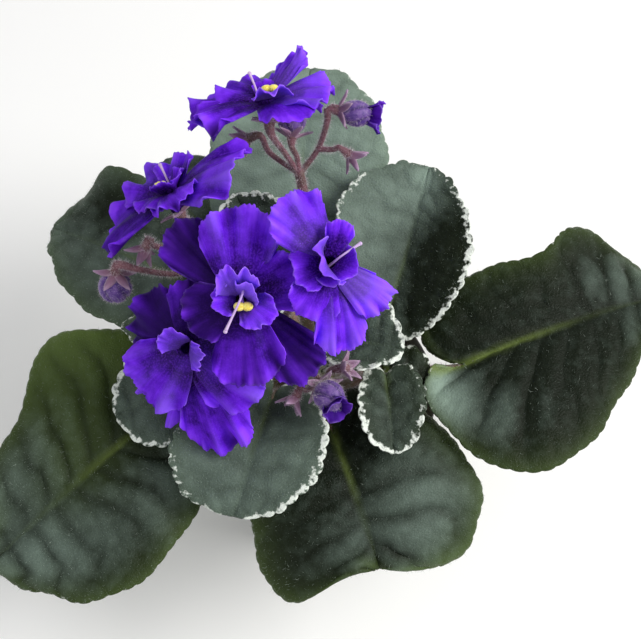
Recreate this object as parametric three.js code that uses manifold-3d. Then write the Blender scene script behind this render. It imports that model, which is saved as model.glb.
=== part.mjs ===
// A potted African violet: a plain pot of soil, a short crown, a rosette of broad leaves with waved
// margins, and four flower stalks that carry five semi-double blooms and their buds.
// Millimetres, +Z up. The origin is the middle of the pot's underside.
import * as THREE from "three";
import { mergeVertices } from "three/addons/utils/BufferGeometryUtils.js";
import Module from "manifold-3d";

const wasm = await Module();
wasm.setup();

// Driving dimensions of the pot, the soil and the crown.
const POT_HEIGHT = 78;
const POT_RIM_RADIUS = 40;
const POT_BASE_RADIUS = 28;
const POT_WALL = 3;
const POT_FLOOR = 4;
const RIM_BAND = 12;
const RIM_STEP = 2;
const POT_SIDES = 22;
const DRAIN_HOLES = 3;
const DRAIN_RADIUS = 4;
const DRAIN_RING = 15;
const SOIL_TOP = 70;
const CROWN_RADIUS = 6.5;
const CROWN_FOOT = 56;
const CROWN_TOP = 93;
// Pieces that meet keep this much air between them.
const SEAT_GAP = 0.3;

// Thickness of the grown pieces.
const LEAF_THICKNESS = 1.2;
const PETAL_THICKNESS = 0.8;
// How many times wider a petal fans out at its foot than at its end.
const FOOT_SPREAD = 1.6;
const SEPAL_THICKNESS = 0.8;

const UP = new THREE.Vector3(0, 0, 1);
// The side of the plant that is looked at, from which the blooms' turns are counted.
const VIEW_ELEVATION = THREE.MathUtils.degToRad(62);
const VIEW_UP = new THREE.Vector3(0, Math.sin(VIEW_ELEVATION), Math.cos(VIEW_ELEVATION));

const vec = (x, y, z) => new THREE.Vector3(x, y, z);
const mix = (a, b, share) => a + (b - a) * share;

// A closed three.js geometry as a solid that can be joined and cut.
function solid(geometry) {
  const plain = geometry.index ? geometry.clone() : geometry;
  plain.deleteAttribute("normal");
  plain.deleteAttribute("uv");
  const merged = mergeVertices(plain, 1e-4);
  return new wasm.Manifold(
    new wasm.Mesh({
      numProp: 3,
      vertProperties: merged.attributes.position.array,
      triVerts: new Uint32Array(merged.index.array),
    }),
  );
}

// A solid back as a named mesh with its own material.
function part(name, shape, look) {
  const data = shape.getMesh();
  const geometry = new THREE.BufferGeometry();
  geometry.setAttribute("position", new THREE.BufferAttribute(data.vertProperties, 3));
  geometry.setIndex(new THREE.BufferAttribute(data.triVerts, 1));
  geometry.computeVertexNormals();
  const mesh = new THREE.Mesh(geometry, new THREE.MeshStandardMaterial(look));
  mesh.name = name;
  return mesh;
}

const join = (shapes) => shapes.reduce((whole, next) => whole.add(next));

// A turned piece: the outline runs from its foot on the axis round to its top on the axis.
function turned(outline, sides) {
  const points = outline.map(([radius, height]) => new THREE.Vector2(radius, height));
  const geometry = new THREE.LatheGeometry(points, sides);
  geometry.rotateX(Math.PI / 2);
  return geometry;
}

// A round stalk along a smooth curve: a closed cylinder, bent, with its radius given along the way.
function stalk(points, radii, sides, steps) {
  const curve = new THREE.CatmullRomCurve3(points);
  const frames = curve.computeFrenetFrames(steps, false);
  const geometry = new THREE.CylinderGeometry(1, 1, 1, sides, steps);
  const position = geometry.attributes.position;
  for (let i = 0; i < position.count; i++) {
    const share = 0.5 - position.getY(i);
    const step = Math.round(share * steps);
    const along = share * (radii.length - 1);
    const index = Math.min(Math.floor(along), radii.length - 2);
    const radius = mix(radii[index], radii[index + 1], along - index);
    const place = curve
      .getPointAt(step / steps)
      .addScaledVector(frames.normals[step], position.getX(i) * radius)
      .addScaledVector(frames.binormals[step], position.getZ(i) * radius);
    position.setXYZ(i, place.x, place.y, place.z);
  }
  return solid(geometry);
}

// A thin blade over a smooth surface base(s, t), raised along that surface's own normal by relief(s, t).
// Both faces are split into triangles alike, and each half of the blade mirrors the other.
function blade(rows, columns, base, relief, thickness) {
  const vertices = [];
  const faces = [];
  const nudge = 1e-3;
  const width = columns + 1;
  const bottom = (rows + 1) * width;
  for (const side of [1, -1]) {
    for (let i = 0; i <= rows; i++) {
      for (let j = 0; j <= columns; j++) {
        const s = i / rows;
        const t = (2 * j) / columns - 1;
        const along = base(s + nudge, t).sub(base(s - nudge, t));
        const across = base(s, t + nudge).sub(base(s, t - nudge));
        const normal = along.cross(across).normalize();
        const height = relief(s, t) + (side * thickness) / 2;
        const point = base(s, t).addScaledVector(normal, height);
        vertices.push(point.x, point.y, point.z);
      }
    }
  }
  const quad = (a, b, c, d) => faces.push(a, b, c, a, c, d);
  const wall = (a, b) => quad(a, b, b + bottom, a + bottom);
  for (let i = 0; i < rows; i++) {
    for (let j = 0; j < columns; j++) {
      const a = i * width + j;
      const [b, c, d] = [a + width, a + width + 1, a + 1];
      if (j < columns / 2) {
        faces.push(a, b, d, b, c, d);
        faces.push(a + bottom, d + bottom, b + bottom, b + bottom, d + bottom, c + bottom);
      } else {
        faces.push(a, b, c, a, c, d);
        faces.push(a + bottom, c + bottom, b + bottom, a + bottom, d + bottom, c + bottom);
      }
    }
    wall((i + 1) * width, i * width);
    wall(i * width + columns, (i + 1) * width + columns);
  }
  for (let j = 0; j < columns; j++) {
    wall(j, j + 1);
    wall(rows * width + j + 1, rows * width + j);
  }
  const geometry = new THREE.BufferGeometry();
  geometry.setAttribute("position", new THREE.BufferAttribute(new Float32Array(vertices), 3));
  geometry.setIndex(faces);
  return solid(geometry);
}

// The pot, its soil and the crown

// The pot's inner wall at a height.
function innerRadius(height) {
  const slope = (POT_RIM_RADIUS - RIM_STEP - POT_BASE_RADIUS) / POT_HEIGHT;
  return POT_BASE_RADIUS - POT_WALL + slope * height;
}

function plantPot() {
  const bandFoot = POT_HEIGHT - RIM_BAND;
  const outline = [
    [0, 0],
    [POT_BASE_RADIUS - 1.5, 0],
    [POT_BASE_RADIUS, 1.5],
    [innerRadius(bandFoot) + POT_WALL, bandFoot],
    [innerRadius(bandFoot) + POT_WALL + RIM_STEP, bandFoot + 1],
    [POT_RIM_RADIUS, POT_HEIGHT - 1],
    [POT_RIM_RADIUS - 1, POT_HEIGHT],
    [innerRadius(POT_HEIGHT) + 1, POT_HEIGHT],
    [innerRadius(POT_HEIGHT), POT_HEIGHT - 1],
    [innerRadius(POT_FLOOR), POT_FLOOR],
    [0, POT_FLOOR],
  ];
  let pot = solid(turned(outline, POT_SIDES));
  for (let i = 0; i < DRAIN_HOLES; i++) {
    const angle = (2 * Math.PI * (i + 0.25)) / DRAIN_HOLES;
    const drill = new THREE.CylinderGeometry(DRAIN_RADIUS, DRAIN_RADIUS, 4 * POT_FLOOR, 8);
    drill.rotateX(Math.PI / 2);
    drill.translate(DRAIN_RING * Math.cos(angle), DRAIN_RING * Math.sin(angle), 0);
    pot = pot.subtract(solid(drill));
  }
  return pot;
}

// The crown is a short thick stem. With room it is the hollow that the soil and the stalks leave for it.
function crown(room) {
  const radius = CROWN_RADIUS + room;
  const outline = [
    [0, CROWN_FOOT - room],
    [radius * 0.8, CROWN_FOOT - room],
    [radius, CROWN_FOOT + 4],
    [radius, CROWN_TOP - 4],
    [radius * 0.7, CROWN_TOP - 1],
    [0, CROWN_TOP + room],
  ];
  return solid(turned(outline, 10));
}

// Potting soil, heaped a little towards the crown and uneven on top.
function soil() {
  const foot = POT_FLOOR + SEAT_GAP;
  const outline = [
    [0, foot],
    [innerRadius(foot) - SEAT_GAP, foot],
    [innerRadius(SOIL_TOP - 1) - SEAT_GAP, SOIL_TOP - 1],
    [27, SOIL_TOP],
    [20, SOIL_TOP - 0.4],
    [13, SOIL_TOP + 0.8],
    [0, SOIL_TOP + 1.4],
  ];
  const geometry = turned(outline, 16);
  const position = geometry.attributes.position;
  for (let i = 0; i < position.count; i++) {
    const [x, y, z] = [position.getX(i), position.getY(i), position.getZ(i)];
    const open = z > SOIL_TOP - 0.7 ? 1 : 0;
    const bump = Math.sin(0.9 * x + 1.3 * y) * Math.sin(0.7 * y - 0.5 * x);
    position.setZ(i, z + 0.7 * open * bump);
  }
  return solid(geometry).subtract(crown(SEAT_GAP));
}

// Leaves. Each has a stem from the crown, and a broad heart-shaped blade from base to tip.
//   seat    height on the crown where the stem grows
//   base    where the stem meets the blade, and tip, the end of the midrib
//   left    the left margin in the leaf's plane, from the lobe behind the base to the tip, and right
//   lean    turn about the midrib in degrees, and arch, the midrib's rise
//   fold    slope of the two halves, and curl, how far the margins rise
//   wave    height of the margin's waves, their number, and where they start
//   bumps   local rises of a margin: where along it, left 1 or right -1, its spread, its height
const LEAVES = [
  {
    name: "leaf_left_front",
    seat: 81,
    base: [-42, -10, 95],
    tip: [-98, -60, 82],
    left: [[-12, 3], [-13, 15], [0, 25], [18, 31], [38, 36], [52, 35], [65, 25], [74, 10], [77, 2]],
    right: [[-13, -3], [-14, -16], [-3, -29], [14, -42], [26, -41], [37, -31], [56, -24], [71, -12], [77, -2]],
    lean: -4,
    arch: 5,
    fold: 0.12,
    curl: -7,
    wave: [2.4, 1.6, 0.1],
    bumps: [[0.45, -1, 0.12, -3]],
  },
  {
    name: "leaf_front",
    seat: 81,
    base: [5, -19, 92],
    tip: [21, -64, 80],
    left: [[-10, 3], [-13, 13], [-5, 25], [14, 33], [32, 37], [45, 32], [52, 20], [49, 7], [46, 1]],
    right: [[-8, -3], [-9, -12], [-2, -23], [14, -31], [31, -35], [43, -33], [47, -25], [44, -12], [45, -3]],
    lean: 4,
    arch: 5,
    fold: 0.16,
    curl: -6,
    wave: [2.4, 1.4, 0.55],
    bumps: [[0.8, 1, 0.12, 3]],
  },
  {
    name: "leaf_right",
    seat: 81,
    base: [48, 1, 96],
    tip: [112, 28.5, 88],
    left: [[-5, 3], [-9, 10], [-7, 19], [4, 27], [22, 27], [38, 25], [48, 30], [54, 31], [64, 25], [73, 12], [73, 3]],
    right: [[-9, 1], [-15, -3], [-17, -12], [-13, -27], [-4, -38], [12, -42], [27, -37], [44, -26], [60, -14], [71, -3]],
    lean: 3,
    arch: 5,
    fold: 0.14,
    curl: -5,
    wave: [2, 1.5, 0.35],
    bumps: [[0.08, -1, 0.2, 7], [0.6, 1, 0.12, 2]],
  },
  {
    name: "leaf_right_back",
    seat: 86,
    base: [24, 17, 101],
    tip: [38, 66, 114],
    left: [[-7, 2], [-8, 9], [2, 18], [18, 23], [32, 25], [43, 19], [50, 8], [51, 2]],
    right: [[-6, -2], [-8, -7], [-4, -13], [6, -19], [21, -21], [34, -18], [45, -11], [51, -3]],
    lean: 0,
    arch: -2,
    fold: 0.26,
    curl: 2,
    wave: [1, 2, 0.2],
    bumps: [],
  },
  {
    name: "leaf_back",
    seat: 85,
    base: [-6, 44, 98],
    tip: [-2, 102, 114],
    left: [[-9, 4], [-11, 14], [0, 25], [18, 31], [36, 30], [52, 25], [61, 13], [63, 3]],
    right: [[-9, -3], [-11, -13], [0, -23], [16, -28], [34, -28], [52, -21], [61, -10], [63, -3]],
    lean: 0,
    arch: 4,
    fold: 0.12,
    curl: -3,
    wave: [1.8, 1.5, 0.5],
    bumps: [],
  },
  {
    name: "leaf_left_back",
    seat: 84,
    base: [-36, 25, 98],
    tip: [-88, 50, 98],
    left: [[-9, 3], [-10, 12], [0, 20], [16, 24], [36, 22], [50, 12], [57, 2]],
    right: [[-9, -3], [-10, -11], [0, -18], [18, -25], [36, -28], [52, -24], [57, -12], [58, -3]],
    lean: 3,
    arch: 4,
    fold: 0.14,
    curl: -4,
    wave: [2.2, 1.8, 0.75],
    bumps: [[0.72, -1, 0.08, 6]],
  },
  {
    name: "leaf_back_left_low",
    seat: 80,
    base: [-24, 46, 91],
    tip: [-53, 80, 94],
    left: [[-7, 2], [-8, 10], [2, 18], [17, 21], [33, 16], [42, 6], [45, 2]],
    right: [[-7, -2], [-8, -10], [2, -18], [17, -21], [33, -16], [42, -6], [45, -2]],
    lean: 0,
    arch: 4,
    fold: 0.12,
    curl: -3,
    wave: [1.6, 1.5, 0.3],
    bumps: [],
  },
  {
    name: "leaf_inner_back",
    seat: 89.5,
    base: [-10, 22, 105],
    tip: [-26, 54, 112],
    left: [[-5, 2], [-6, 8], [2, 15], [14, 18], [26, 14], [34, 6], [37, 1]],
    right: [[-5, -2], [-6, -8], [2, -15], [14, -18], [26, -14], [34, -6], [37, -1]],
    lean: 0,
    arch: 2,
    fold: 0.2,
    curl: 1,
    wave: [1, 2, 0.2],
    bumps: [],
  },
  {
    name: "leaf_inner_front",
    seat: 89,
    base: [-13, -15, 105],
    tip: [-24, -50, 98],
    left: [[-6, 2], [-7, 8], [-1, 16], [9, 21], [20, 21], [31, 15], [37, 5]],
    right: [[-6, -2], [-8, -9], [-1, -18], [14, -23], [27, -23], [35, -17], [38, -5]],
    lean: 0,
    arch: 3,
    fold: 0.14,
    curl: 0,
    wave: [0.8, 2, 0.6],
    bumps: [],
  },
  {
    name: "leaf_inner_left",
    seat: 86,
    base: [-36, -6, 101],
    tip: [-60, -18, 100],
    left: [[-5, 2], [-6, 8], [2, 15], [14, 18], [24, 13], [28, 3]],
    right: [[-5, -2], [-6, -7], [2, -13], [14, -16], [23, -10], [28, -2]],
    lean: -7,
    arch: 2,
    fold: 0.04,
    curl: 1,
    wave: [0.8, 2, 0.1],
    bumps: [],
  },
  {
    name: "leaf_left",
    seat: 88.5,
    base: [-27, 6, 101],
    tip: [-59, 9, 106],
    left: [[-4, 2], [-5, 8], [2, 13], [12, 15], [24, 11], [31, 4], [34, 1]],
    right: [[-4, -2], [-5, -7], [2, -11], [12, -13], [24, -10], [31, -4], [34, -1]],
    lean: 0,
    arch: 3,
    fold: 0.1,
    curl: -1,
    wave: [1, 2, 0.5],
    bumps: [],
  },
  {
    name: "leaf_inner_right",
    seat: 90,
    base: [9, 2, 110],
    tip: [27, -3, 113],
    left: [[-4, 2], [-4, 8], [2, 13], [11, 13], [17, 6], [19, 1]],
    right: [[-4, -2], [-4, -8], [3, -12], [12, -11], [18, -5], [19, -1]],
    lean: 0,
    arch: 1.5,
    fold: 0.25,
    curl: 1.5,
    wave: [0.6, 2, 0.4],
    bumps: [],
  },
  {
    name: "leaf_small_front_right",
    seat: 90,
    base: [22, -9, 106],
    tip: [24, -32, 101],
    left: [[-3, 1], [-4, 7], [4, 11], [13, 10], [20, 7], [23, 2]],
    right: [[-3, -1], [-4, -5], [3, -9], [11, -10], [19, -7], [23, -1]],
    lean: 0,
    arch: 1.5,
    fold: 0.2,
    curl: 1.5,
    wave: [0.5, 2, 0.8],
    bumps: [],
  },
  {
    name: "leaf_small_right",
    seat: 86,
    base: [21.5, -1, 96.5],
    tip: [36, -10, 94.5],
    left: [[-2, 3], [-2, 7], [4, 11], [10, 10], [15, 6], [16, 1]],
    right: [[-2, -2], [-2, -5], [3, -8], [10, -8], [15, -5], [17, -1]],
    lean: 0,
    arch: 1.5,
    fold: 0.12,
    curl: 0,
    wave: [0.8, 2, 0.3],
    bumps: [],
  },
];

// Two folded young leaves stand on the crown and are one piece with it.
const YOUNG_LEAVES = [
  {
    base: [0, 1.5, 91],
    tip: [-1, 7, 107],
    left: [[0, 1.5], [3, 3], [9, 4.5], [14, 2.5], [17, 1]],
    right: [[0, -1.5], [3, -4.5], [9, -5.5], [14, -3], [17, -1]],
    lean: 0,
    arch: 0.5,
    fold: 0.5,
    curl: 0,
    wave: [0.2, 2, 0],
    bumps: [],
  },
  {
    base: [1, -1, 91],
    tip: [5, -3.5, 105],
    left: [[0, 1.5], [3, 4.5], [9, 5], [13, 3], [15, 1]],
    right: [[0, -1.5], [3, -4.5], [9, -5], [13, -3], [15, -1]],
    lean: 0,
    arch: 0.5,
    fold: 0.5,
    curl: 0,
    wave: [0.2, 2, 0.5],
    bumps: [],
  },
];

// The directions of a leaf: along its midrib, to its left, and out of its upper face.
function leafAxes(leaf) {
  const base = vec(...leaf.base);
  const along = vec(...leaf.tip).sub(base);
  const length = along.length();
  along.normalize();
  const left = UP.clone().cross(along).normalize();
  left.applyAxisAngle(along, THREE.MathUtils.degToRad(leaf.lean));
  const out = along.clone().cross(left);
  return { base, along, left, out, length };
}

// The smooth surface of a leaf's blade. A row s is a side vein: it leaves the midrib and runs out to
// the margin, at t = 1 left or t = -1 right. It is arched, folded, curled and bumped.
function leafSurface(leaf, rows) {
  const { base, along, left, out, length } = leafAxes(leaf);
  const margin = (points) => new THREE.CatmullRomCurve3(points.map(([x, y]) => vec(x, y, 0)));
  const margins = { 1: margin(leaf.left), [-1]: margin(leaf.right) };
  return (row, t) => {
    const s = THREE.MathUtils.clamp(row, 0, 1);
    const reach = Math.abs(t);
    const side = t < 0 ? -1 : 1;
    const edge = margins[side].getPointAt(s);
    const tooth = 1 - 0.012 * Math.cos(Math.PI * rows * s) * reach ** 6;
    const bow = -0.06 * length * Math.sin(Math.PI * reach) * (1 - s);
    const x = mix(length * s, edge.x * tooth, reach) + bow;
    const y = edge.y * tooth * reach;
    const travel = x / length;
    let rise = leaf.arch * 4 * travel * (1 - travel) + leaf.fold * Math.sqrt(y * y + 4);
    rise += leaf.curl * (y / (0.6 * length)) ** 2;
    for (const [place, half, spread, height] of leaf.bumps) {
      rise += height * Math.exp(-(((s - place) / spread) ** 2)) * Math.max(0, t * half) ** 2;
    }
    return base.clone().addScaledVector(along, x).addScaledVector(left, y).addScaledVector(out, rise);
  };
}

// Waves of the margin, and the swelling between the side veins.
function leafRelief(leaf) {
  const [height, count, start] = leaf.wave;
  return (s, t) => {
    const swing = 2 * Math.PI * (count * s + start + (t > 0 ? 0 : 0.37));
    const puff = 0.5 - 0.5 * Math.cos(2 * Math.PI * 5 * s);
    const quilt = Math.min(0.8, 0.04 * Math.abs(leaf.left[2][1])) * puff * Math.sin(Math.PI * Math.abs(t));
    return height * t * t * Math.sin(swing) + quilt;
  };
}

// The stem runs from inside the crown to the blade, and on under its midrib.
function leafStem(leaf, surface) {
  const { base, along, out, length } = leafAxes(leaf);
  const outward = vec(base.x, base.y, 0).normalize();
  const reach = Math.hypot(base.x, base.y);
  const thick = mix(1.1, 2.3, Math.min(1, length / 65));
  const under = (s, drop) => surface(s, 0).addScaledVector(out, -drop);
  const near = outward.clone().multiplyScalar(CROWN_RADIUS + 2);
  near.z = leaf.seat;
  const half = outward.clone().multiplyScalar(mix(CROWN_RADIUS, reach, 0.55));
  half.z = mix(leaf.seat, base.z, 0.62);
  const meet = under(0, thick * 0.6).addScaledVector(along, -0.03 * length);
  const points = [vec(0, 0, leaf.seat - 1), near, half, meet, under(0.14, 0.2)];
  return stalk(points, [thick * 1.15, thick * 1.1, thick, thick * 0.9, 0.5], 5, 5);
}

function leafShape(leaf) {
  const length = Math.hypot(leaf.tip[0] - leaf.base[0], leaf.tip[1] - leaf.base[1]);
  const [rows, columns] = length > 41 ? [12, 6] : [8, 4];
  const surface = leafSurface(leaf, rows);
  const sheet = blade(rows, columns, surface, leafRelief(leaf), LEAF_THICKNESS);
  return sheet.add(leafStem(leaf, surface)).subtract(crown(SEAT_GAP));
}

// Blooms. A bloom sits at its throat and faces along face. Turns are in degrees, anticlockwise as the
// bloom is looked at, from its right. A petal is [turn, length, width, pitch, curl, roll]: pitch tilts
// it towards its face, curl lifts its end, and roll turns it about its own middle line. The small
// inner petals are listed alike.
const BLOOMS = [
  {
    name: "back",
    throat: [-14, 57, 158],
    face: [-0.1, 0.69, 0.72],
    petals: [
      [178, 26, 28, -1, -2, -18],
      [214, 22, 20, -2, -2, -10],
      [148, 18, 22, 14, 1, -10],
      [62, 20, 12, 30, 3, 0],
      [16, 20, 24, 7, 0, 14],
      [-32, 18, 22, -3, -2, 8],
    ],
    petaloids: [
      [-58, 13, 13, 20, 0, 0],
      [105, 9, 9, 45, 0, 0],
    ],
    anthers: [1, 1, 3.8],
    style: [[-1.8, -0.8, -2], [-3, 0, 4], [-4.8, 1, 8.5]],
  },
  {
    name: "left",
    throat: [-42, 33, 145],
    face: [-0.37, 0.63, 0.675],
    petals: [
      [207, 29, 30, -8, -2, -20],
      [168, 22, 22, 10, 1, -12],
      [108, 15, 15, 34, 1, 0],
      [14, 30, 27, 9, -1, 32],
      [-28, 17, 18, 6, -2, 8],
      [-88, 12, 16, 6, -1, 0],
    ],
    petaloids: [
      [60, 9, 10, 48, 0, 0],
      [-70, 8, 9, 45, 0, 0],
    ],
    anthers: [-3, -0.5, 3.6],
    style: [[-1.6, 1.5, -2], [-3.6, 2.8, 4], [-5, 3.5, 8.5]],
  },
  {
    name: "centre",
    throat: [-20, -6, 152],
    face: [0, -0.469, 0.883],
    petals: [
      [92, 25.5, 24, 9, -2, 0],
      [133, 29.5, 19, -8, -3, 0],
      [200, 17, 18, 1, -2, 0],
      [276, 24.5, 22, 0, -2, 0],
      [313, 31, 18, -10, -3, 0],
      [22, 19.5, 18, 11, -1, 0],
    ],
    petaloids: [
      [102, 15, 14, 48, 3, 0],
      [62, 11, 11, 60, 1, 0],
      [184, 10, 10, 40, 0, 0],
      [322, 13, 12, 36, 0, 0],
    ],
    anthers: [0.8, -2.2, 4],
    style: [[-1.2, 1.5, -2], [0.2, 3, 2.5], [0.8, 1.5, 6], [-3.8, -9, 7.5]],
  },
  {
    name: "right",
    throat: [4, 1, 159],
    face: [0.35, -0.3, 0.85],
    petals: [
      [127, 22.5, 20, 8, -1, 0],
      [80, 13, 9, 30, 1, 0],
      [-35, 20.5, 14, 4, -2, 0],
      [-78, 24.5, 17, -6, -3, 0],
      [246, 16, 16, -2, -2, 0],
      [190, 12, 15, 9, 0, 0],
    ],
    petaloids: [
      [205, 11, 14, 56, 0, 0],
      [-40, 9, 14, 44, 0, 0],
    ],
    style: [[0, -1, -2], [2.5, 1.5, 2.5], [8, 5, 4]],
  },
  {
    name: "front",
    throat: [-36, -13, 136.5],
    face: [-0.3, -0.6, 0.7],
    petals: [
      [220, 22, 25, 5, -3, 0],
      [325, 25, 26, 0, -3, 0],
      [279, 36, 23, -11, -3, 0],
      [236, 30, 17, -13, -3, 0],
      [152, 22, 24, -9, -2, 0],
      [68, 20, 22, -6, -1, 0],
    ],
    petaloids: [
      [120, 11, 10, 50, 0, 0],
      [350, 13, 9, 48, 0, 0],
    ],
  },
];

// The directions of a bloom, bud or calyx: out of its face, up, and to its right as it is looked at.
function bloomAxes(bloom) {
  const throat = vec(...bloom.throat);
  const face = vec(...bloom.face).normalize();
  const up = VIEW_UP.clone().addScaledVector(face, -VIEW_UP.dot(face)).normalize();
  const right = up.clone().cross(face);
  const place = (x, y, z) =>
    throat.clone().addScaledVector(right, x).addScaledVector(up, y).addScaledVector(face, z);
  return { throat, face, up, right, place };
}

// A petal like a shell: it fans out widest at its foot, its end is rounded and its margin is ruffled.
// A small petal that stands up is cupped too.
function petalBlade(bloom, [turn, length, width, pitch, curl, roll], rows, columns, thickness) {
  const { face, up, right, place } = bloomAxes(bloom);
  const angle = THREE.MathUtils.degToRad(turn);
  const tilt = THREE.MathUtils.degToRad(pitch);
  const outward = right.clone().multiplyScalar(Math.cos(angle)).addScaledVector(up, Math.sin(angle));
  const along = outward.clone().multiplyScalar(Math.cos(tilt)).addScaledVector(face, Math.sin(tilt));
  const across = face.clone().cross(outward).applyAxisAngle(along, THREE.MathUtils.degToRad(roll));
  const out = along.clone().cross(across);
  const lift = pitch > 30 ? -0.6 : THREE.MathUtils.clamp(0.06 * pitch, -1, 0.3);
  const foot = place(0, 0, (bloom.foot ?? 0) + lift);
  const spread = Math.asin(Math.min(0.98, width / 2 / (0.78 * length)));
  const surface = (s, t) => {
    const reach = mix(2.1, length, s) * (1 - 0.2 * t * t * s);
    const fan = t * spread * mix(FOOT_SPREAD, 1, s);
    const x = reach * Math.cos(fan);
    const y = reach * Math.sin(fan);
    const rise = curl * (reach / length) ** 2;
    return foot.clone().addScaledVector(along, x).addScaledVector(across, y).addScaledVector(out, rise);
  };
  const ruffle = 0.05 * width;
  const cup = length < 16 && pitch > 30 ? 0.24 * width : 0;
  const relief = (s, t) => ruffle * s * s * Math.sin(2.6 * Math.PI * t + turn) + cup * t * t * s;
  return blade(rows, columns, surface, relief, thickness);
}

// A short round tube along the axis of a bloom, from low to high.
function tube(bloom, radiusLow, radiusHigh, low, high, sides) {
  const { face, place } = bloomAxes(bloom);
  const geometry = new THREE.CylinderGeometry(radiusHigh, radiusLow, high - low, sides);
  geometry.applyQuaternion(new THREE.Quaternion().setFromUnitVectors(vec(0, 1, 0), face));
  const middle = place(0, 0, (low + high) / 2);
  geometry.translate(middle.x, middle.y, middle.z);
  return solid(geometry);
}

// The filament of the anthers. With room it is the seat in the throat that it stands in.
function filament(bloom, room) {
  const { place } = bloomAxes(bloom);
  const [x, y, z] = bloom.anthers;
  const points = [place(0, 0.6, -2 - room), place(0, 0.8, 1), place(x, y, z)];
  return stalk(points, [0.6 + room, 0.6 + room], 6, 3);
}

// Two yellow anthers, joined, on their filament.
function anthers(bloom) {
  const { face, place } = bloomAxes(bloom);
  const [x, y, z] = bloom.anthers;
  const lobe = (shift) => {
    const geometry = new THREE.SphereGeometry(1, 5, 4);
    geometry.scale(1.6, 1.3, 1.1);
    geometry.applyQuaternion(new THREE.Quaternion().setFromUnitVectors(UP, face));
    const centre = place(x + shift, y, z);
    geometry.translate(centre.x, centre.y, centre.z);
    return solid(geometry);
  };
  return join([lobe(-1.1), lobe(1.1), filament(bloom, 0)]);
}

// The slender style, with its small stigma, bent to one side.
function style(bloom, room) {
  const { place } = bloomAxes(bloom);
  const points = bloom.style.map(([x, y, z], i) => place(x, y, i === 0 ? z - room : z));
  return stalk(points, [0.5 + room, 0.42 + room, 0.42 + room, 0.7 + room], 6, 5);
}

function corolla(bloom) {
  const large = bloom.petals.map((petal) => petalBlade(bloom, petal, 2, petal[2] > 20 ? 6 : 4, PETAL_THICKNESS));
  const small = (bloom.petaloids ?? []).map((petal) => petalBlade(bloom, petal, 2, 2, PETAL_THICKNESS));
  let shape = join([...large, ...small, tube(bloom, 2, 2.9, -5, 1.2, 8)]);
  if (bloom.anthers) shape = shape.subtract(filament(bloom, SEAT_GAP));
  if (bloom.style) shape = shape.subtract(style(bloom, SEAT_GAP));
  return shape;
}

// Buds. The corolla is still rolled into an egg, with a few frilled petals at its mouth.
const BUDS = [
  {
    name: "back_right",
    throat: [12, 59, 150],
    face: [0.85, -0.1, -0.1],
    radius: 4,
    length: 10,
    foot: 3,
    petals: [
      [60, 8, 9, 50, 0, 0],
      [180, 7, 8, 55, 0, 0],
      [300, 8, 9, 50, 0, 0],
    ],
  },
  {
    name: "back_middle",
    throat: [-7, 60, 145],
    face: [0, 0.75, 0.6],
    radius: 4.6,
    length: 10,
    foot: 3,
    petals: [
      [90, 8, 9, 45, 0, 0],
      [210, 8, 9, 45, 0, 0],
      [330, 8, 9, 45, 0, 0],
    ],
  },
  {
    name: "left",
    throat: [-59, 10, 131],
    face: [-0.15, -0.35, -0.9],
    radius: 5,
    length: 9.6,
  },
  {
    name: "front",
    throat: [4, -20, 119],
    face: [0.3, -0.6, 0.2],
    radius: 4.6,
    length: 10,
    foot: 2.6,
    petals: [
      [30, 7, 9, 52, 0, 0],
      [150, 7, 9, 52, 0, 0],
      [270, 7, 9, 52, 0, 0],
    ],
  },
];

function budShape(bud) {
  const { face, place } = bloomAxes(bud);
  const egg = new THREE.SphereGeometry(1, 7, 5);
  egg.rotateX(Math.PI / 2);
  egg.scale(bud.radius, bud.radius, bud.length / 2);
  egg.applyQuaternion(new THREE.Quaternion().setFromUnitVectors(UP, face));
  const centre = place(0, 0, bud.length / 2 - 4.4);
  egg.translate(centre.x, centre.y, centre.z);
  const frills = (bud.petals ?? []).map((petal) => petalBlade(bud, petal, 2, 2, PETAL_THICKNESS));
  return join([solid(egg), ...frills]);
}

// Spent calyxes: the flower has dropped, and five sepals stand about the young seed pod.
const CALYXES = [
  { name: "back_right", throat: [13, 49, 140], face: [0.7, -0.3, -0.35] },
  { name: "back_left", throat: [-23, 54, 143], face: [-0.75, 0, -0.3] },
  { name: "left", throat: [-51, 18.5, 134.5], face: [-0.35, -0.3, -0.75] },
  { name: "low_right", throat: [11, -12, 121], face: [0.8, -0.1, 0.45] },
  { name: "low_left", throat: [-7, -21, 113], face: [-0.35, -0.6, -0.3] },
];

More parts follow.
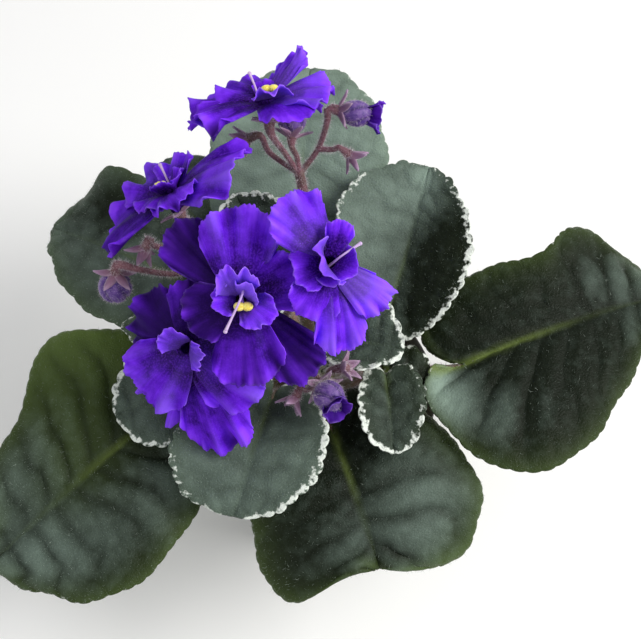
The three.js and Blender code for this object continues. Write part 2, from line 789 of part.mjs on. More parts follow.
// A calyx: a star of five pointed sepals, joined at their feet, at the end of a pedicel.
//   low    how far behind the throat it sits, length of a sepal, and pitch, how far it stands up
function calyx(flower, low, length, pitch) {
  const { face, up, right, place } = bloomAxes(flower);
  const centre = place(0, 0, low);
  const tilt = THREE.MathUtils.degToRad(pitch);
  const half = SEPAL_THICKNESS / 2 / Math.cos(tilt);
  const spokes = 10;
  const vertices = [];
  const faces = [];
  const layer = 1 + spokes;
  for (const side of [half, -half]) {
    const middle = centre.clone().addScaledVector(face, side);
    vertices.push(middle.x, middle.y, middle.z);
    for (let i = 0; i < spokes; i++) {
      const angle = (2 * Math.PI * (i + 0.5)) / spokes;
      const reach = i % 2 === 0 ? length : 0.34 * length;
      const point = middle
        .clone()
        .addScaledVector(right, reach * Math.cos(tilt) * Math.cos(angle))
        .addScaledVector(up, reach * Math.cos(tilt) * Math.sin(angle))
        .addScaledVector(face, reach * Math.sin(tilt));
      vertices.push(point.x, point.y, point.z);
    }
  }
  for (let i = 0; i < spokes; i++) {
    const [a, b] = [1 + i, 1 + ((i + 1) % spokes)];
    faces.push(0, a, b);
    faces.push(layer, b + layer, a + layer);
    faces.push(a, a + layer, b, b, a + layer, b + layer);
  }
  const geometry = new THREE.BufferGeometry();
  geometry.setAttribute("position", new THREE.BufferAttribute(new Float32Array(vertices), 3));
  geometry.setIndex(faces);
  return solid(geometry);
}

// Flower stalks. Each stalk starts in the crown, and its pedicels fork from it. A pedicel ends in
// the calyx of the flower that it is named for.
const STALKS = [
  {
    name: "back",
    stem: [[1, 2.5, 86], [3, 9, 99], [3.5, 25, 110], [-2, 42, 121], [-5, 49, 135]],
    radius: 1.9,
    blooms: { back: [[-5, 49, 133], [-9, 50, 142]] },
    buds: {
      back_right: [[-5, 49, 132], [1, 53, 140], [4, 58, 149]],
      back_middle: [[-5, 49, 134], [-5.5, 51, 139]],
    },
    calyxes: {
      back_right: [[1, 53, 140], [6, 51.5, 142]],
      back_left: [[-5, 49, 133], [-14, 52, 140]],
    },
  },
  {
    name: "left",
    stem: [[-3.5, 2.6, 89], [-9, 5.2, 99], [-20, 12, 110], [-32, 25, 123], [-36, 31, 131]],
    radius: 1.8,
    blooms: { left: [[-36, 31, 129], [-38, 31, 134]] },
    buds: { left: [[-33, 26, 126], [-40, 15, 130], [-51, 12, 137]] },
    calyxes: { left: [[-35, 29, 128], [-42, 22, 133], [-48, 20, 138]] },
  },
  {
    name: "front",
    stem: [[-3.2, -1.9, 89], [-7.5, -3.8, 100], [-14, -4, 114], [-17, -4, 128]],
    radius: 1.9,
    blooms: {
      centre: [[-17, -4, 126], [-19, -2, 134]],
      right: [[-15.5, -4, 118], [-8, 0, 132]],
      front: [[-15, -4, 117], [-25, -5, 124]],
    },
    buds: {},
    calyxes: {},
  },
  {
    name: "low",
    stem: [[2, -2.5, 86], [3, -7, 97], [2, -11, 106], [1, -12, 112]],
    radius: 1.4,
    blooms: {},
    buds: { front: [[1, -12, 110], [1, -13, 115]] },
    calyxes: {
      low_right: [[2, -11, 106], [4, -11, 114]],
      low_left: [[1.5, -11.5, 108], [-3, -16, 114]],
    },
  },
];

function stalkShape(stalkPlan) {
  const rooted = (points) => points.map((point) => vec(...point));
  const { radius, stem } = stalkPlan;
  const shapes = [stalk(rooted(stem), [radius * 1.1, radius, radius * 0.8], 6, 5)];
  const find = (list, name) => list.find((flower) => flower.name === name);
  for (const [name, points] of Object.entries(stalkPlan.blooms)) {
    const bloom = find(BLOOMS, name);
    const { place } = bloomAxes(bloom);
    const end = [place(0, 0, -9), place(0, 0, -5 - SEAT_GAP)];
    shapes.push(stalk([...rooted(points), ...end], [1.1, 1, 1, 1.9], 5, 3));
    shapes.push(calyx(bloom, -6.4, 6, 12));
  }
  for (const [name, points] of Object.entries(stalkPlan.buds)) {
    const bud = find(BUDS, name);
    const { place } = bloomAxes(bud);
    const end = [place(0, 0, -8), place(0, 0, -4.4 - SEAT_GAP)];
    shapes.push(stalk([...rooted(points), ...end], [1, 0.9, 0.9, 1.6], 5, 3));
    shapes.push(calyx(bud, -5.8, 7, 24));
  }
  for (const [name, points] of Object.entries(stalkPlan.calyxes)) {
    const spent = find(CALYXES, name);
    const { place } = bloomAxes(spent);
    const end = [place(0, 0, -7), place(0, 0, -3)];
    shapes.push(stalk([...rooted(points), ...end], [1, 0.9, 0.9, 1.7], 5, 3));
    shapes.push(calyx(spent, -4, 7, 45));
  }
  return join(shapes).subtract(crown(SEAT_GAP));
}

function crownWithYoungLeaves() {
  const young = YOUNG_LEAVES.map((leaf) => blade(4, 4, leafSurface(leaf, 4), leafRelief(leaf), LEAF_THICKNESS));
  return join([crown(0), ...young]);
}

const plant = new THREE.Group();
const add = (name, shape, color, roughness) =>
  plant.add(part(name, shape, { color, roughness, metalness: 0 }));

add("pot", plantPot(), 0x2c2a27, 0.55);
add("soil", soil(), 0x2b1e16, 1);
add("crown", crownWithYoungLeaves(), 0x5c6b3c, 0.8);
for (const leaf of LEAVES) add(leaf.name, leafShape(leaf), 0x33452f, 0.7);
for (const plan of STALKS) add(`stalk_${plan.name}`, stalkShape(plan), 0x6b4453, 0.75);
for (const bloom of BLOOMS) {
  add(`corolla_${bloom.name}`, corolla(bloom), 0x4a17a8, 0.6);
  if (bloom.anthers) add(`anthers_${bloom.name}`, anthers(bloom), 0xf0e04a, 0.7);
  if (bloom.style) add(`style_${bloom.name}`, style(bloom, 0), 0xba9dd5, 0.5);
}
for (const bud of BUDS) add(`bud_${bud.name}`, budShape(bud), 0x5a2f86, 0.6);

export default plant;
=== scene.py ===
# %% [markdown]
# # A potted african violet
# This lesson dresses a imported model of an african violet: a rosette of thick hairy leaves, four
# flower stalks with five ruffled violet blooms, their buds and spent calyxes, and a plain pot of
# soil. The frame gives the place and size of every piece. Here each piece gets the surface that
# the real plant has: quilted blades with a scalloped margin, frilled petals, fuzz, veins and skin.
# All plan sizes are in millimetres. They become metres when a mesh is made.

# %% Load the frame
import math

import bmesh
import bpy
import numpy as np
from mathutils import Matrix, Vector, noise


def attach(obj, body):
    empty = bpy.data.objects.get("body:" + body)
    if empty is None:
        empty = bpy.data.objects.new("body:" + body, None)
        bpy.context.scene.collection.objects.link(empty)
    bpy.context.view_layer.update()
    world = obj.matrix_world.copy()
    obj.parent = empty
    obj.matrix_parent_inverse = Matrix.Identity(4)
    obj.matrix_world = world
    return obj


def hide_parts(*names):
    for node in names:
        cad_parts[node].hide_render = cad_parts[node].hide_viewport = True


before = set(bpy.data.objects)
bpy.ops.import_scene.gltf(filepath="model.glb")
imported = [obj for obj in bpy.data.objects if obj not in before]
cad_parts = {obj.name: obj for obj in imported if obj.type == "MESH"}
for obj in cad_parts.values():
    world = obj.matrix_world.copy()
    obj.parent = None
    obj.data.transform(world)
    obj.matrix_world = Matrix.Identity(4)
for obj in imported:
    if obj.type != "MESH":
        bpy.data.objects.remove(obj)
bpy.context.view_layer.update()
MM = 0.001

# %% [markdown]
# ## The camera
# The photograph looks down on the plant at 62 degrees from its front, from about 40 cm. A camera
# is placed by its distance along that direction from the point it looks at, and then turned
# towards it. The lens follows from how large the leaves are in the picture.

# %% Place the camera
VIEW_ELEVATION = math.radians(62)
VIEW_DISTANCE = 400
VIEW_TARGET = Vector((1.8, 17.8, 95))
LENS = 69.1
SENSOR_WIDTH = 36
CLIP_START = 0.01
BACK_TO_CAMERA = Vector((0, -math.cos(VIEW_ELEVATION), math.sin(VIEW_ELEVATION)))
VIEW_UP = Vector((0, math.sin(VIEW_ELEVATION), math.cos(VIEW_ELEVATION)))

scene = bpy.context.scene


def add_object(name, data):
    """Puts data into the scene, as an object at the origin."""
    made = bpy.data.objects.new(name, data)
    scene.collection.objects.link(made)
    return made


camera_data = bpy.data.cameras.new("camera")
camera_data.lens = LENS
camera_data.sensor_width = SENSOR_WIDTH
camera_data.sensor_fit = "HORIZONTAL"
camera_data.clip_start = CLIP_START
camera = add_object("camera", camera_data)
camera.location = (VIEW_TARGET + VIEW_DISTANCE * BACK_TO_CAMERA) * MM
camera.rotation_euler = (-BACK_TO_CAMERA).to_track_quat("-Z", "Y").to_euler()
scene.camera = camera
print("camera at", [round(v, 3) for v in camera.location])

# %% [markdown]
# ## Colours and layers
# Colours are picked as a screen shows them, from 0 to 255, and Blender mixes light in linear
# values, so one small function converts them. A skin could be one large node tree drawn by hand.
# Here it is written as a painter works: one colour first, and others laid over it, each as far as
# a noise or a value stored on the mesh says. That keeps each recipe short enough to read.

# %% Colours and nodes
def shown(red, green, blue):
    """A colour as a screen shows it, 0 to 255, as a linear colour."""
    def linear(value):
        share = value / 255
        return share / 12.92 if share <= 0.04045 else ((share + 0.055) / 1.055) ** 2.4
    return (linear(red), linear(green), linear(blue), 1)


def plug(tree, socket, value):
    """Gives a socket a value, or links an output to it."""
    if isinstance(value, bpy.types.NodeSocket):
        tree.links.new(value, socket)
    else:
        socket.default_value = value


def add_node(tree, kind, inputs=None, **settings):
    made = tree.nodes.new(kind)
    for key, value in settings.items():
        setattr(made, key, value)
    for key, value in (inputs or {}).items():
        plug(tree, made.inputs[key], value)
    return made


print("half bright on a screen is", round(shown(128, 128, 128)[0], 2), "in linear light")

# %% A recipe for a material
class Recipe:
    """A material whose finish is built up in layers, and short ways to add its nodes."""

    def __init__(self, name, roughness, colour, **sockets):
        self.material = bpy.data.materials.new(name)
        self.material.use_nodes = True
        self.tree = self.material.node_tree
        self.colour = colour
        self.feed(Roughness=roughness, Base_Color=colour, **sockets)

    def feed(self, **sockets):
        """Sets or links sockets of the shader, each named with _ for a space."""
        inputs = self.tree.nodes["Principled BSDF"].inputs
        for name, value in sockets.items():
            plug(self.tree, inputs[name.replace("_", " ")], value)

    def node(self, kind, inputs=None, **settings):
        return add_node(self.tree, kind, inputs, **settings)

    def attribute(self, name):
        """A value that was stored on the mesh, point by point."""
        return self.node("ShaderNodeAttribute", attribute_name=name).outputs["Fac"]

    def place(self):
        return self.node("ShaderNodeTexCoord").outputs["Object"]

    def grain(self, size, detail, stretch=None):
        """Soft noise whose patches are about size millimetres wide."""
        vector = self.place()
        if stretch:
            vector = self.node("ShaderNodeMapping", {"Vector": vector, "Scale": stretch}).outputs[0]
        inputs = {"Vector": vector, "Scale": 1 / (size * MM), "Detail": detail}
        return self.node("ShaderNodeTexNoise", inputs).outputs["Fac"]

    def steps(self, value, low, high, start=0, end=1):
        """Maps low to start and high to end, and holds outside them."""
        inputs = {"Value": value, "From Min": low, "From Max": high, "To Min": start, "To Max": end}
        return self.node("ShaderNodeMapRange", inputs).outputs["Result"]

    def clouds(self, size, detail, low=0.35, high=0.65, start=0, end=1):
        """Grain whose middle heights are spread from start to end."""
        return self.steps(self.grain(size, detail), low, high, start, end)

    def times(self, first, second):
        return self.node("ShaderNodeMath", {0: first, 1: second}, operation="MULTIPLY").outputs[0]

    def plus(self, first, second):
        return self.node("ShaderNodeMath", {0: first, 1: second}, operation="ADD").outputs[0]

    def over(self, share, colour):
        """Lays a colour over what is there, as far as share says. Sockets 6 and 7 are colours."""
        made = self.node("ShaderNodeMix", {0: share, 6: self.colour, 7: colour}, data_type="RGBA")
        self.colour = made.outputs[2]
        self.feed(Base_Color=self.colour)

    def bump(self, height, depth, strength):
        """Raises the surface by up to depth millimetres."""
        inputs = {"Height": height, "Distance": depth * MM, "Strength": strength}
        self.feed(Normal=self.node("ShaderNodeBump", inputs).outputs["Normal"])


# %% A recipe for two mottled colours
def mottled(name, roughness, colours, patch, bump, **sockets):
    """Two colours in soft patches on a bump. Both start with a size and a detail of noise."""
    look = Recipe(name, roughness, colours[0], **sockets)
    look.over(look.clouds(*patch), colours[1])
    size, detail, depth, strength = bump
    look.bump(look.grain(size, detail), depth, strength)
    return look


# %% [markdown]
# ## Floor and light
# The photograph has a plain white ground and soft light that comes mostly from above and from the
# right. A pale floor, an even sky and one large lamp give that. A small fill keeps the left side
# from going black. Standard colour display keeps the strong violet of the petals, which a filmic
# curve would wash out.

# %% Build the floor and the lights
SKY_STRENGTH = 0.56
KEY_POWER = 10
FILL_POWER = 1.6
FLOOR_HALF = 3

scene.view_settings.view_transform = "Standard"
scene.view_settings.look = "None"

world = bpy.data.worlds.new("studio")
scene.world = world
world.use_nodes = True
sky = world.node_tree.nodes["Background"]
sky.inputs["Color"].default_value = (1, 1, 1, 1)
sky.inputs["Strength"].default_value = SKY_STRENGTH


def softbox(name, place, power, size, tint):
    """A square lamp that looks at the middle of the plant."""
    data = bpy.data.lights.new(name, "AREA")
    data.size = size
    data.energy = power
    data.color = tint
    lamp = add_object(name, data)
    lamp.location = place
    aim = VIEW_TARGET * MM - Vector(place)
    lamp.rotation_euler = aim.to_track_quat("-Z", "Y").to_euler()


def mesh_object(name, mesh, materials=()):
    """Turns a finished bmesh into an object."""
    data = bpy.data.meshes.new(name)
    mesh.to_mesh(data)
    mesh.free()
    for material in materials:
        data.materials.append(material)
    return add_object(name, data)


softbox("key", (0.75, -0.05, 0.8), KEY_POWER, 0.5, (1, 0.99, 0.96))
softbox("fill", (-0.6, -0.5, 0.7), FILL_POWER, 0.8, (0.95, 0.97, 1))
paper = Recipe("floor paper", 0.9, (0.93, 0.93, 0.93, 1))
ground = bmesh.new()
bmesh.ops.create_grid(ground, x_segments=1, y_segments=1, size=FLOOR_HALF)
floor = mesh_object("floor", ground, [paper.material])
print("floor", 2 * FLOOR_HALF, "m wide, lamps of", KEY_POWER, "and", FILL_POWER, "W")

# %% [markdown]
# ## Smooth curves
# Margins, stems and stalks are drawn through a few given points. A centripetal Catmull-Rom curve
# passes through each of them without loops, and sampling it finely gives a table from which a place
# at any share of its length is read.

# %% Curves through points
def mix(first, second, share):
    return first + (second - first) * share


class Route:
    """A smooth curve through points, read by the share of its length."""

    SAMPLES = 24

    def __init__(self, points):
        points = np.array([tuple(point) for point in points], float)
        before, after = 2 * points[0] - points[1], 2 * points[-1] - points[-2]
        padded = np.concatenate([[before], points, [after]])
        rows = [self.stretch(padded[index : index + 4]) for index in range(len(points) - 1)]
        self.table = np.concatenate(rows + [points[-1:]])
        steps = np.linalg.norm(np.diff(self.table, axis=0), axis=1)
        self.travel = np.concatenate([[0], np.cumsum(steps)])
        self.length = self.travel[-1]

    def stretch(self, four):
        """Points from the second to the third of four, on a centripetal curve."""
        gaps = np.linalg.norm(np.diff(four, axis=0), axis=1) ** 0.5
        before, middle, after = np.maximum(gaps, 1e-4)
        first = (four[1] - four[0]) / before - (four[2] - four[0]) / (before + middle)
        first = (first + (four[2] - four[1]) / middle) * middle
        last = (four[2] - four[1]) / middle - (four[3] - four[1]) / (middle + after)
        last = (last + (four[3] - four[2]) / after) * middle
        share = np.linspace(0, 1, self.SAMPLES, endpoint=False)[:, None]
        square = -3 * four[1] + 3 * four[2] - 2 * first - last
        cube = 2 * four[1] - 2 * four[2] + first + last
        return four[1] + first * share + square * share**2 + cube * share**3

    def at(self, share):
        """The places at these shares of the length."""
        where = np.clip(share, 0, 1) * self.length
        return np.stack([np.interp(where, self.travel, column) for column in self.table.T], axis=-1)


bend = Route([(0, 0), (10, 0), (10, 10)])
print("a bend through a 20 mm corner is", round(bend.length, 1), "mm long")

# %% [markdown]
# ## Sheets and pieces
# A leaf blade or a petal is a thin curved sheet. It could be sculpted, but a formula can follow
# the photograph point by point. Each starts as a flat bmesh grid, whose two directions are named
# s, from foot to tip, and t, from -1 at one margin to 1 at the other. A formula puts every point
# of the grid in place, and a second one raises it. Values such as the nearness to the margin are
# stored on the points, where materials and hairs can read them. Stems are rings that are extruded
# along a route.

# %% Sheets, tubes, balls and pieces
STEEP = 0.4


class Shape:
    """A bmesh that grows a piece, with values stored on its points."""

    def __init__(self, *values):
        self.mesh = bmesh.new()
        self.mesh.loops.layers.uv.new("blade")
        self.values = {name: self.mesh.verts.layers.float.new(name) for name in values}

    def sheet(self, rows, columns, place, relief, values, up=None):
        """Adds a grid, bent by place(s, t), and raised by relief(s, t) along its normals.

        Where a normal leans far from up, as at a sharp tip, the point rises along up.
        """
        before = len(self.mesh.faces)
        verts = bmesh.ops.create_grid(
            self.mesh, x_segments=rows, y_segments=columns, size=1, calc_uvs=True
        )["verts"]
        flat = np.array([vert.co[:2] for vert in verts])
        s, t = (flat[:, 0] + 1) / 2, flat[:, 1]
        for vert, point in zip(verts, place(s, t)):
            vert.co = Vector(point)
        self.finish_faces(before)
        self.mesh.normal_update()
        for vert, height in zip(verts, relief(s, t)):
            steep = up is not None and vert.normal.dot(up) < STEEP
            vert.co += (up if steep else vert.normal) * float(height)
        for name, numbers in values(s, t).items():
            for vert, number in zip(verts, numbers):
                vert[self.values[name]] = float(number)

    def tube(self, points, radii, sides, steps, material=0, values=None, closed=True):
        """Adds a round tube along a route: a ring that is extruded step by step."""
        route = Route(points)
        shares = np.linspace(0, 1, steps + 1)
        centres = route.at(shares)
        ways = route.at(shares + 0.01) - route.at(shares - 0.01)
        widths = np.interp(shares, np.linspace(0, 1, len(radii)), radii)
        before = len(self.mesh.faces)
        ring = bmesh.ops.create_circle(
            self.mesh, cap_ends=closed, segments=sides, radius=1
        )["verts"]
        edges = list({edge for vert in ring for edge in vert.link_edges})
        rings = [ring]
        for _ in range(steps):
            grown = bmesh.ops.extrude_edge_only(self.mesh, edges=edges)["geom"]
            fresh = {part for part in grown if isinstance(part, bmesh.types.BMVert)}
            edges = [part for part in grown if isinstance(part, bmesh.types.BMEdge)]
            edges = [edge for edge in edges if fresh.issuperset(edge.verts)]
            rings.append([self.copied(vert, fresh) for vert in rings[-1]])
        if closed:
            bmesh.ops.contextual_create(self.mesh, geom=edges)
        across = Vector(ways[0]).orthogonal().normalized()
        for step, ring in enumerate(rings):
            way = Vector(ways[step]).normalized()
            across = (across - way * across.dot(way)).normalized()
            beside = way.cross(across)
            for index, vert in enumerate(ring):
                turn = 2 * math.pi * index / sides
                spoke = across * math.cos(turn) + beside * math.sin(turn)
                vert.co = Vector(centres[step]) + spoke * float(widths[step])
                for name, value in (values or {}).items():
                    vert[self.values[name]] = value(shares[step])
        self.finish_faces(before, material, turn_outward=True)

    def copied(self, vert, fresh):
        """The extruded copy of a point of a ring."""
        others = [edge.other_vert(vert) for edge in vert.link_edges]
        return next(other for other in others if other in fresh)

    def finish_faces(self, before, material=0, turn_outward=False):
        """Smooths the newest faces, gives them their material, and turns a closed form outward."""
        self.mesh.faces.ensure_lookup_table()
        newest = self.mesh.faces[before:]
        for face in newest:
            face.smooth = True
            face.material_index = material
        if turn_outward:
            bmesh.ops.recalc_face_normals(self.mesh, faces=newest)

    def ball(self, centre, radii, turn, rings, sides):
        """Adds a round lump with three radii, turned by a quaternion."""
        before = len(self.mesh.faces)
        verts = bmesh.ops.create_uvsphere(
            self.mesh, u_segments=sides, v_segments=rings, radius=1
        )["verts"]
        for vert in verts:
            scaled = Vector([value * radius for value, radius in zip(vert.co, radii)])
            vert.co = turn @ scaled + Vector(centre)
        self.finish_faces(before)
        return verts

    def piece(self, name, materials, slot, replaces=()):
        """Turns the shape into an object in metres that rides on the frame."""
        bmesh.ops.transform(self.mesh, matrix=Matrix.Scale(MM, 4), verts=self.mesh.verts)
        made = mesh_object(name, self.mesh, materials)
        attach(made, "root")
        if replaces:
            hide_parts(*replaces)
        return made


# %% [markdown]
# ## Leaf skin
# An african violet's leaf is thick, soft and covered in hairs. Its upper skin is a deep green,
# greyer sage on young leaves, olive towards a thin margin, and yellow-green along the midrib. Grey
# sage is also painted on as highlights, where the hairs on the pillows catch the light, and a
# darker green as painted shade in the sunk side veins, between the small cells and in some patches.
# The mesh stores how far each of these goes, point by point, so one recipe serves every leaf. Fine
# noise adds the grain of the hairs' feet, and a little sheen their soft bloom at grazing angles.

# %% Mix the leaf colours
LEAF_DARK = shown(14, 21, 10)
LEAF_SAGE = shown(138, 158, 146)
LEAF_OLIVE = shown(90, 110, 54)
LEAF_RIB = shown(102, 118, 56)
# painted shade for the sunk side veins and the edges of the small cells
LEAF_VALLEY_SHADE = shown(15, 21, 12)
LEAF_FROST = shown(226, 232, 224)


def leaf_skin():
    look = Recipe(
        "leaf skin", 0.42, LEAF_DARK, Specular_IOR_Level=0.1,
        Sheen_Weight=0.05, Sheen_Roughness=0.4, Sheen_Tint=shown(214, 226, 218),
    )
    # Tone is each leaf's own dark green or sage, with painted highlights and painted shade in it
    tone = look.plus(look.attribute("tone"), look.clouds(3.5, 2, 0.3, 0.7, -0.05, 0.05))
    tone = look.times(tone, 0.74)
    look.over(tone, LEAF_SAGE)
    look.over(look.attribute("olive"), LEAF_OLIVE)
    # painted shade in the sunk side veins and between the cells
    look.over(look.times(look.attribute("vein"), 0.55), LEAF_VALLEY_SHADE)
    look.over(look.attribute("rib"), LEAF_RIB)
    clumps = look.plus(look.attribute("frost"), look.clouds(1.6, 3, 0.3, 0.7, -0.85, 0.25))
    look.over(look.steps(clumps, 0.3, 0.7), LEAF_FROST)
    velvet = look.clouds(0.45, 1, 0.5, 0.8, 0, 0.3)
    look.over(look.times(velvet, look.steps(tone, 0, 0.4, 0.1, 0.8)), LEAF_SAGE)
    look.bump(look.grain(0.6, 3), 0.5, 0.7)
    return look.material


def leaf_underside():
    colours = shown(118, 132, 98), shown(140, 150, 118)
    sheen = dict(Sheen_Weight=0.3, Sheen_Roughness=0.5)
    look = mottled("leaf underside", 0.65, colours, (4, 3), (0.7, 3, 0.3, 0.6), **sheen)
    look.over(look.times(look.attribute("vein"), 0.6), shown(150, 128, 112))
    return look.material


def petiole_skin():
    look = Recipe("petiole skin", 0.6, shown(112, 108, 74), Sheen_Weight=0.3, Sheen_Roughness=0.5)
    look.over(look.steps(look.grain(3, 3, (1, 1, 0.4)), 0.35, 0.65), shown(126, 96, 82))
    look.bump(look.grain(0.6, 3), 0.3, 0.5)
    return look.material


def fuzz_skin(name, colour):
    look = Recipe(name, 0.45, colour, Specular_IOR_Level=0.6)
    darker = tuple(0.8 * part for part in colour[:3]) + (1,)
    look.over(look.clouds(2, 1, 0.3, 0.7), darker)
    return look.material


LEAF_SKIN = leaf_skin()
LEAF_UNDERSIDE = leaf_underside()
PETIOLE_SKIN = petiole_skin()
LEAF_FUZZ = fuzz_skin("leaf fuzz", shown(160, 174, 162))
STEM_FUZZ = fuzz_skin("stem fuzz", shown(222, 212, 218))
print("mixed", LEAF_SKIN.name, "and four more skins")

# %% [markdown]
# ## Hairs
# The fuzz is thousands of fine hairs. Particle hair would be lost on export, so a small geometry
# nodes tree scatters points over a piece, puts a three-sided needle on each, leans it at random,
# and makes the copies real. The result is read back as a plain mesh, so nothing live is left on
# it. Operators such as extrude and spin leave their faces in an order that changes from run to
# run, and the scattering follows that order, so it works on a copy whose faces are sorted first.

# %% Scatter needles over a mesh
HAIR_SIDES = 3
SHORTEST_HAIR = 0.55
LONGEST_HAIR = 1.15


def hair_tree(name, skin, density, length, radius, lean, seed, field):
    """A tree that covers a mesh with hairs. With field, a stored value scales the density."""
    tree = bpy.data.node_groups.new(name, "GeometryNodeTree")
    for way in ("INPUT", "OUTPUT"):
        tree.interface.new_socket("Geometry", in_out=way, socket_type="NodeSocketGeometry")
    start = add_node(tree, "NodeGroupInput")
    amount = density / (MM * MM)
    if field:
        stored = add_node(
            tree, "GeometryNodeInputNamedAttribute", {"Name": field}, data_type="FLOAT"
        ).outputs[0]
        scaled = add_node(tree, "ShaderNodeMath", {0: stored, 1: amount}, operation="MULTIPLY")
        amount = scaled.outputs[0]
    ground = {"Mesh": start.outputs[0], "Density": amount, "Seed": seed}
    points = add_node(tree, "GeometryNodeDistributePointsOnFaces", ground)
    size = {
        "Vertices": HAIR_SIDES, "Radius Top": 0, "Radius Bottom": radius * MM, "Depth": length * MM,
    }
    needle = add_node(tree, "GeometryNodeMeshCone", size, fill_type="NONE")
    swing = {0: (-lean, -lean, 0), 1: (lean, lean, 2 * math.pi), "Seed": seed + 1}
    leaned = add_node(tree, "FunctionNodeRandomValue", swing, data_type="FLOAT_VECTOR")
    bent = add_node(tree, "FunctionNodeEulerToRotation", {0: leaned.outputs[0]})
    both = {0: points.outputs["Rotation"], 1: bent.outputs[0]}
    turned = add_node(tree, "FunctionNodeRotateRotation", both, rotation_space="LOCAL")
    lengths = {2: SHORTEST_HAIR, 3: LONGEST_HAIR, "Seed": seed + 2}
    scales = add_node(tree, "FunctionNodeRandomValue", lengths, data_type="FLOAT")
    inputs = {
        "Points": points.outputs["Points"], "Instance": needle.outputs["Mesh"],
        "Rotation": turned.outputs[0], "Scale": scales.outputs[1],
    }
    copies = add_node(tree, "GeometryNodeInstanceOnPoints", inputs)
    real = add_node(tree, "GeometryNodeRealizeInstances", {"Geometry": copies.outputs[0]})
    painted = {"Geometry": real.outputs[0], "Material": skin}
    last = add_node(tree, "GeometryNodeSetMaterial", painted)
    add_node(tree, "NodeGroupOutput", {0: last.outputs[0]})
    return tree


# %% Grow hairs over a piece
def sorted_copy(mesh, name, field):
    """A copy of a smooth mesh whose faces and corners have a fixed order, with one stored value."""
    faces = []
    for face in mesh.polygons:
        corners = list(face.vertices)
        first = corners.index(min(corners))
        faces.append(corners[first:] + corners[:first])
    made = bpy.data.meshes.new(name)
    made.from_pydata([vert.co for vert in mesh.vertices], [], sorted(faces))
    made.shade_smooth()
    if field:
        stored = [value.value for value in mesh.attributes[field].data]
        made.attributes.new(field, "FLOAT", "POINT").data.foreach_set("value", stored)
    return made


def grow_hairs(carrier, name, skin, density, length, radius, seed, lean=0.5, field=""):
    """Hairs over a carrier's own mesh, as a piece of their own. Density is hairs a square mm."""
    plain = add_object(name + "_ground", sorted_copy(carrier.data, name + "_ground", field))
    modifier = plain.modifiers.new("hairs", "NODES")
    modifier.node_group = hair_tree(name, skin, density, length, radius, lean, seed, field)
    ready = plain.evaluated_get(bpy.context.evaluated_depsgraph_get())
    mesh = bpy.data.meshes.new_from_object(ready)
    bpy.data.objects.remove(plain)
    mesh.name = name
    made = add_object(name, mesh)
    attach(made, "root")
    print(name, len(mesh.polygons), "faces")
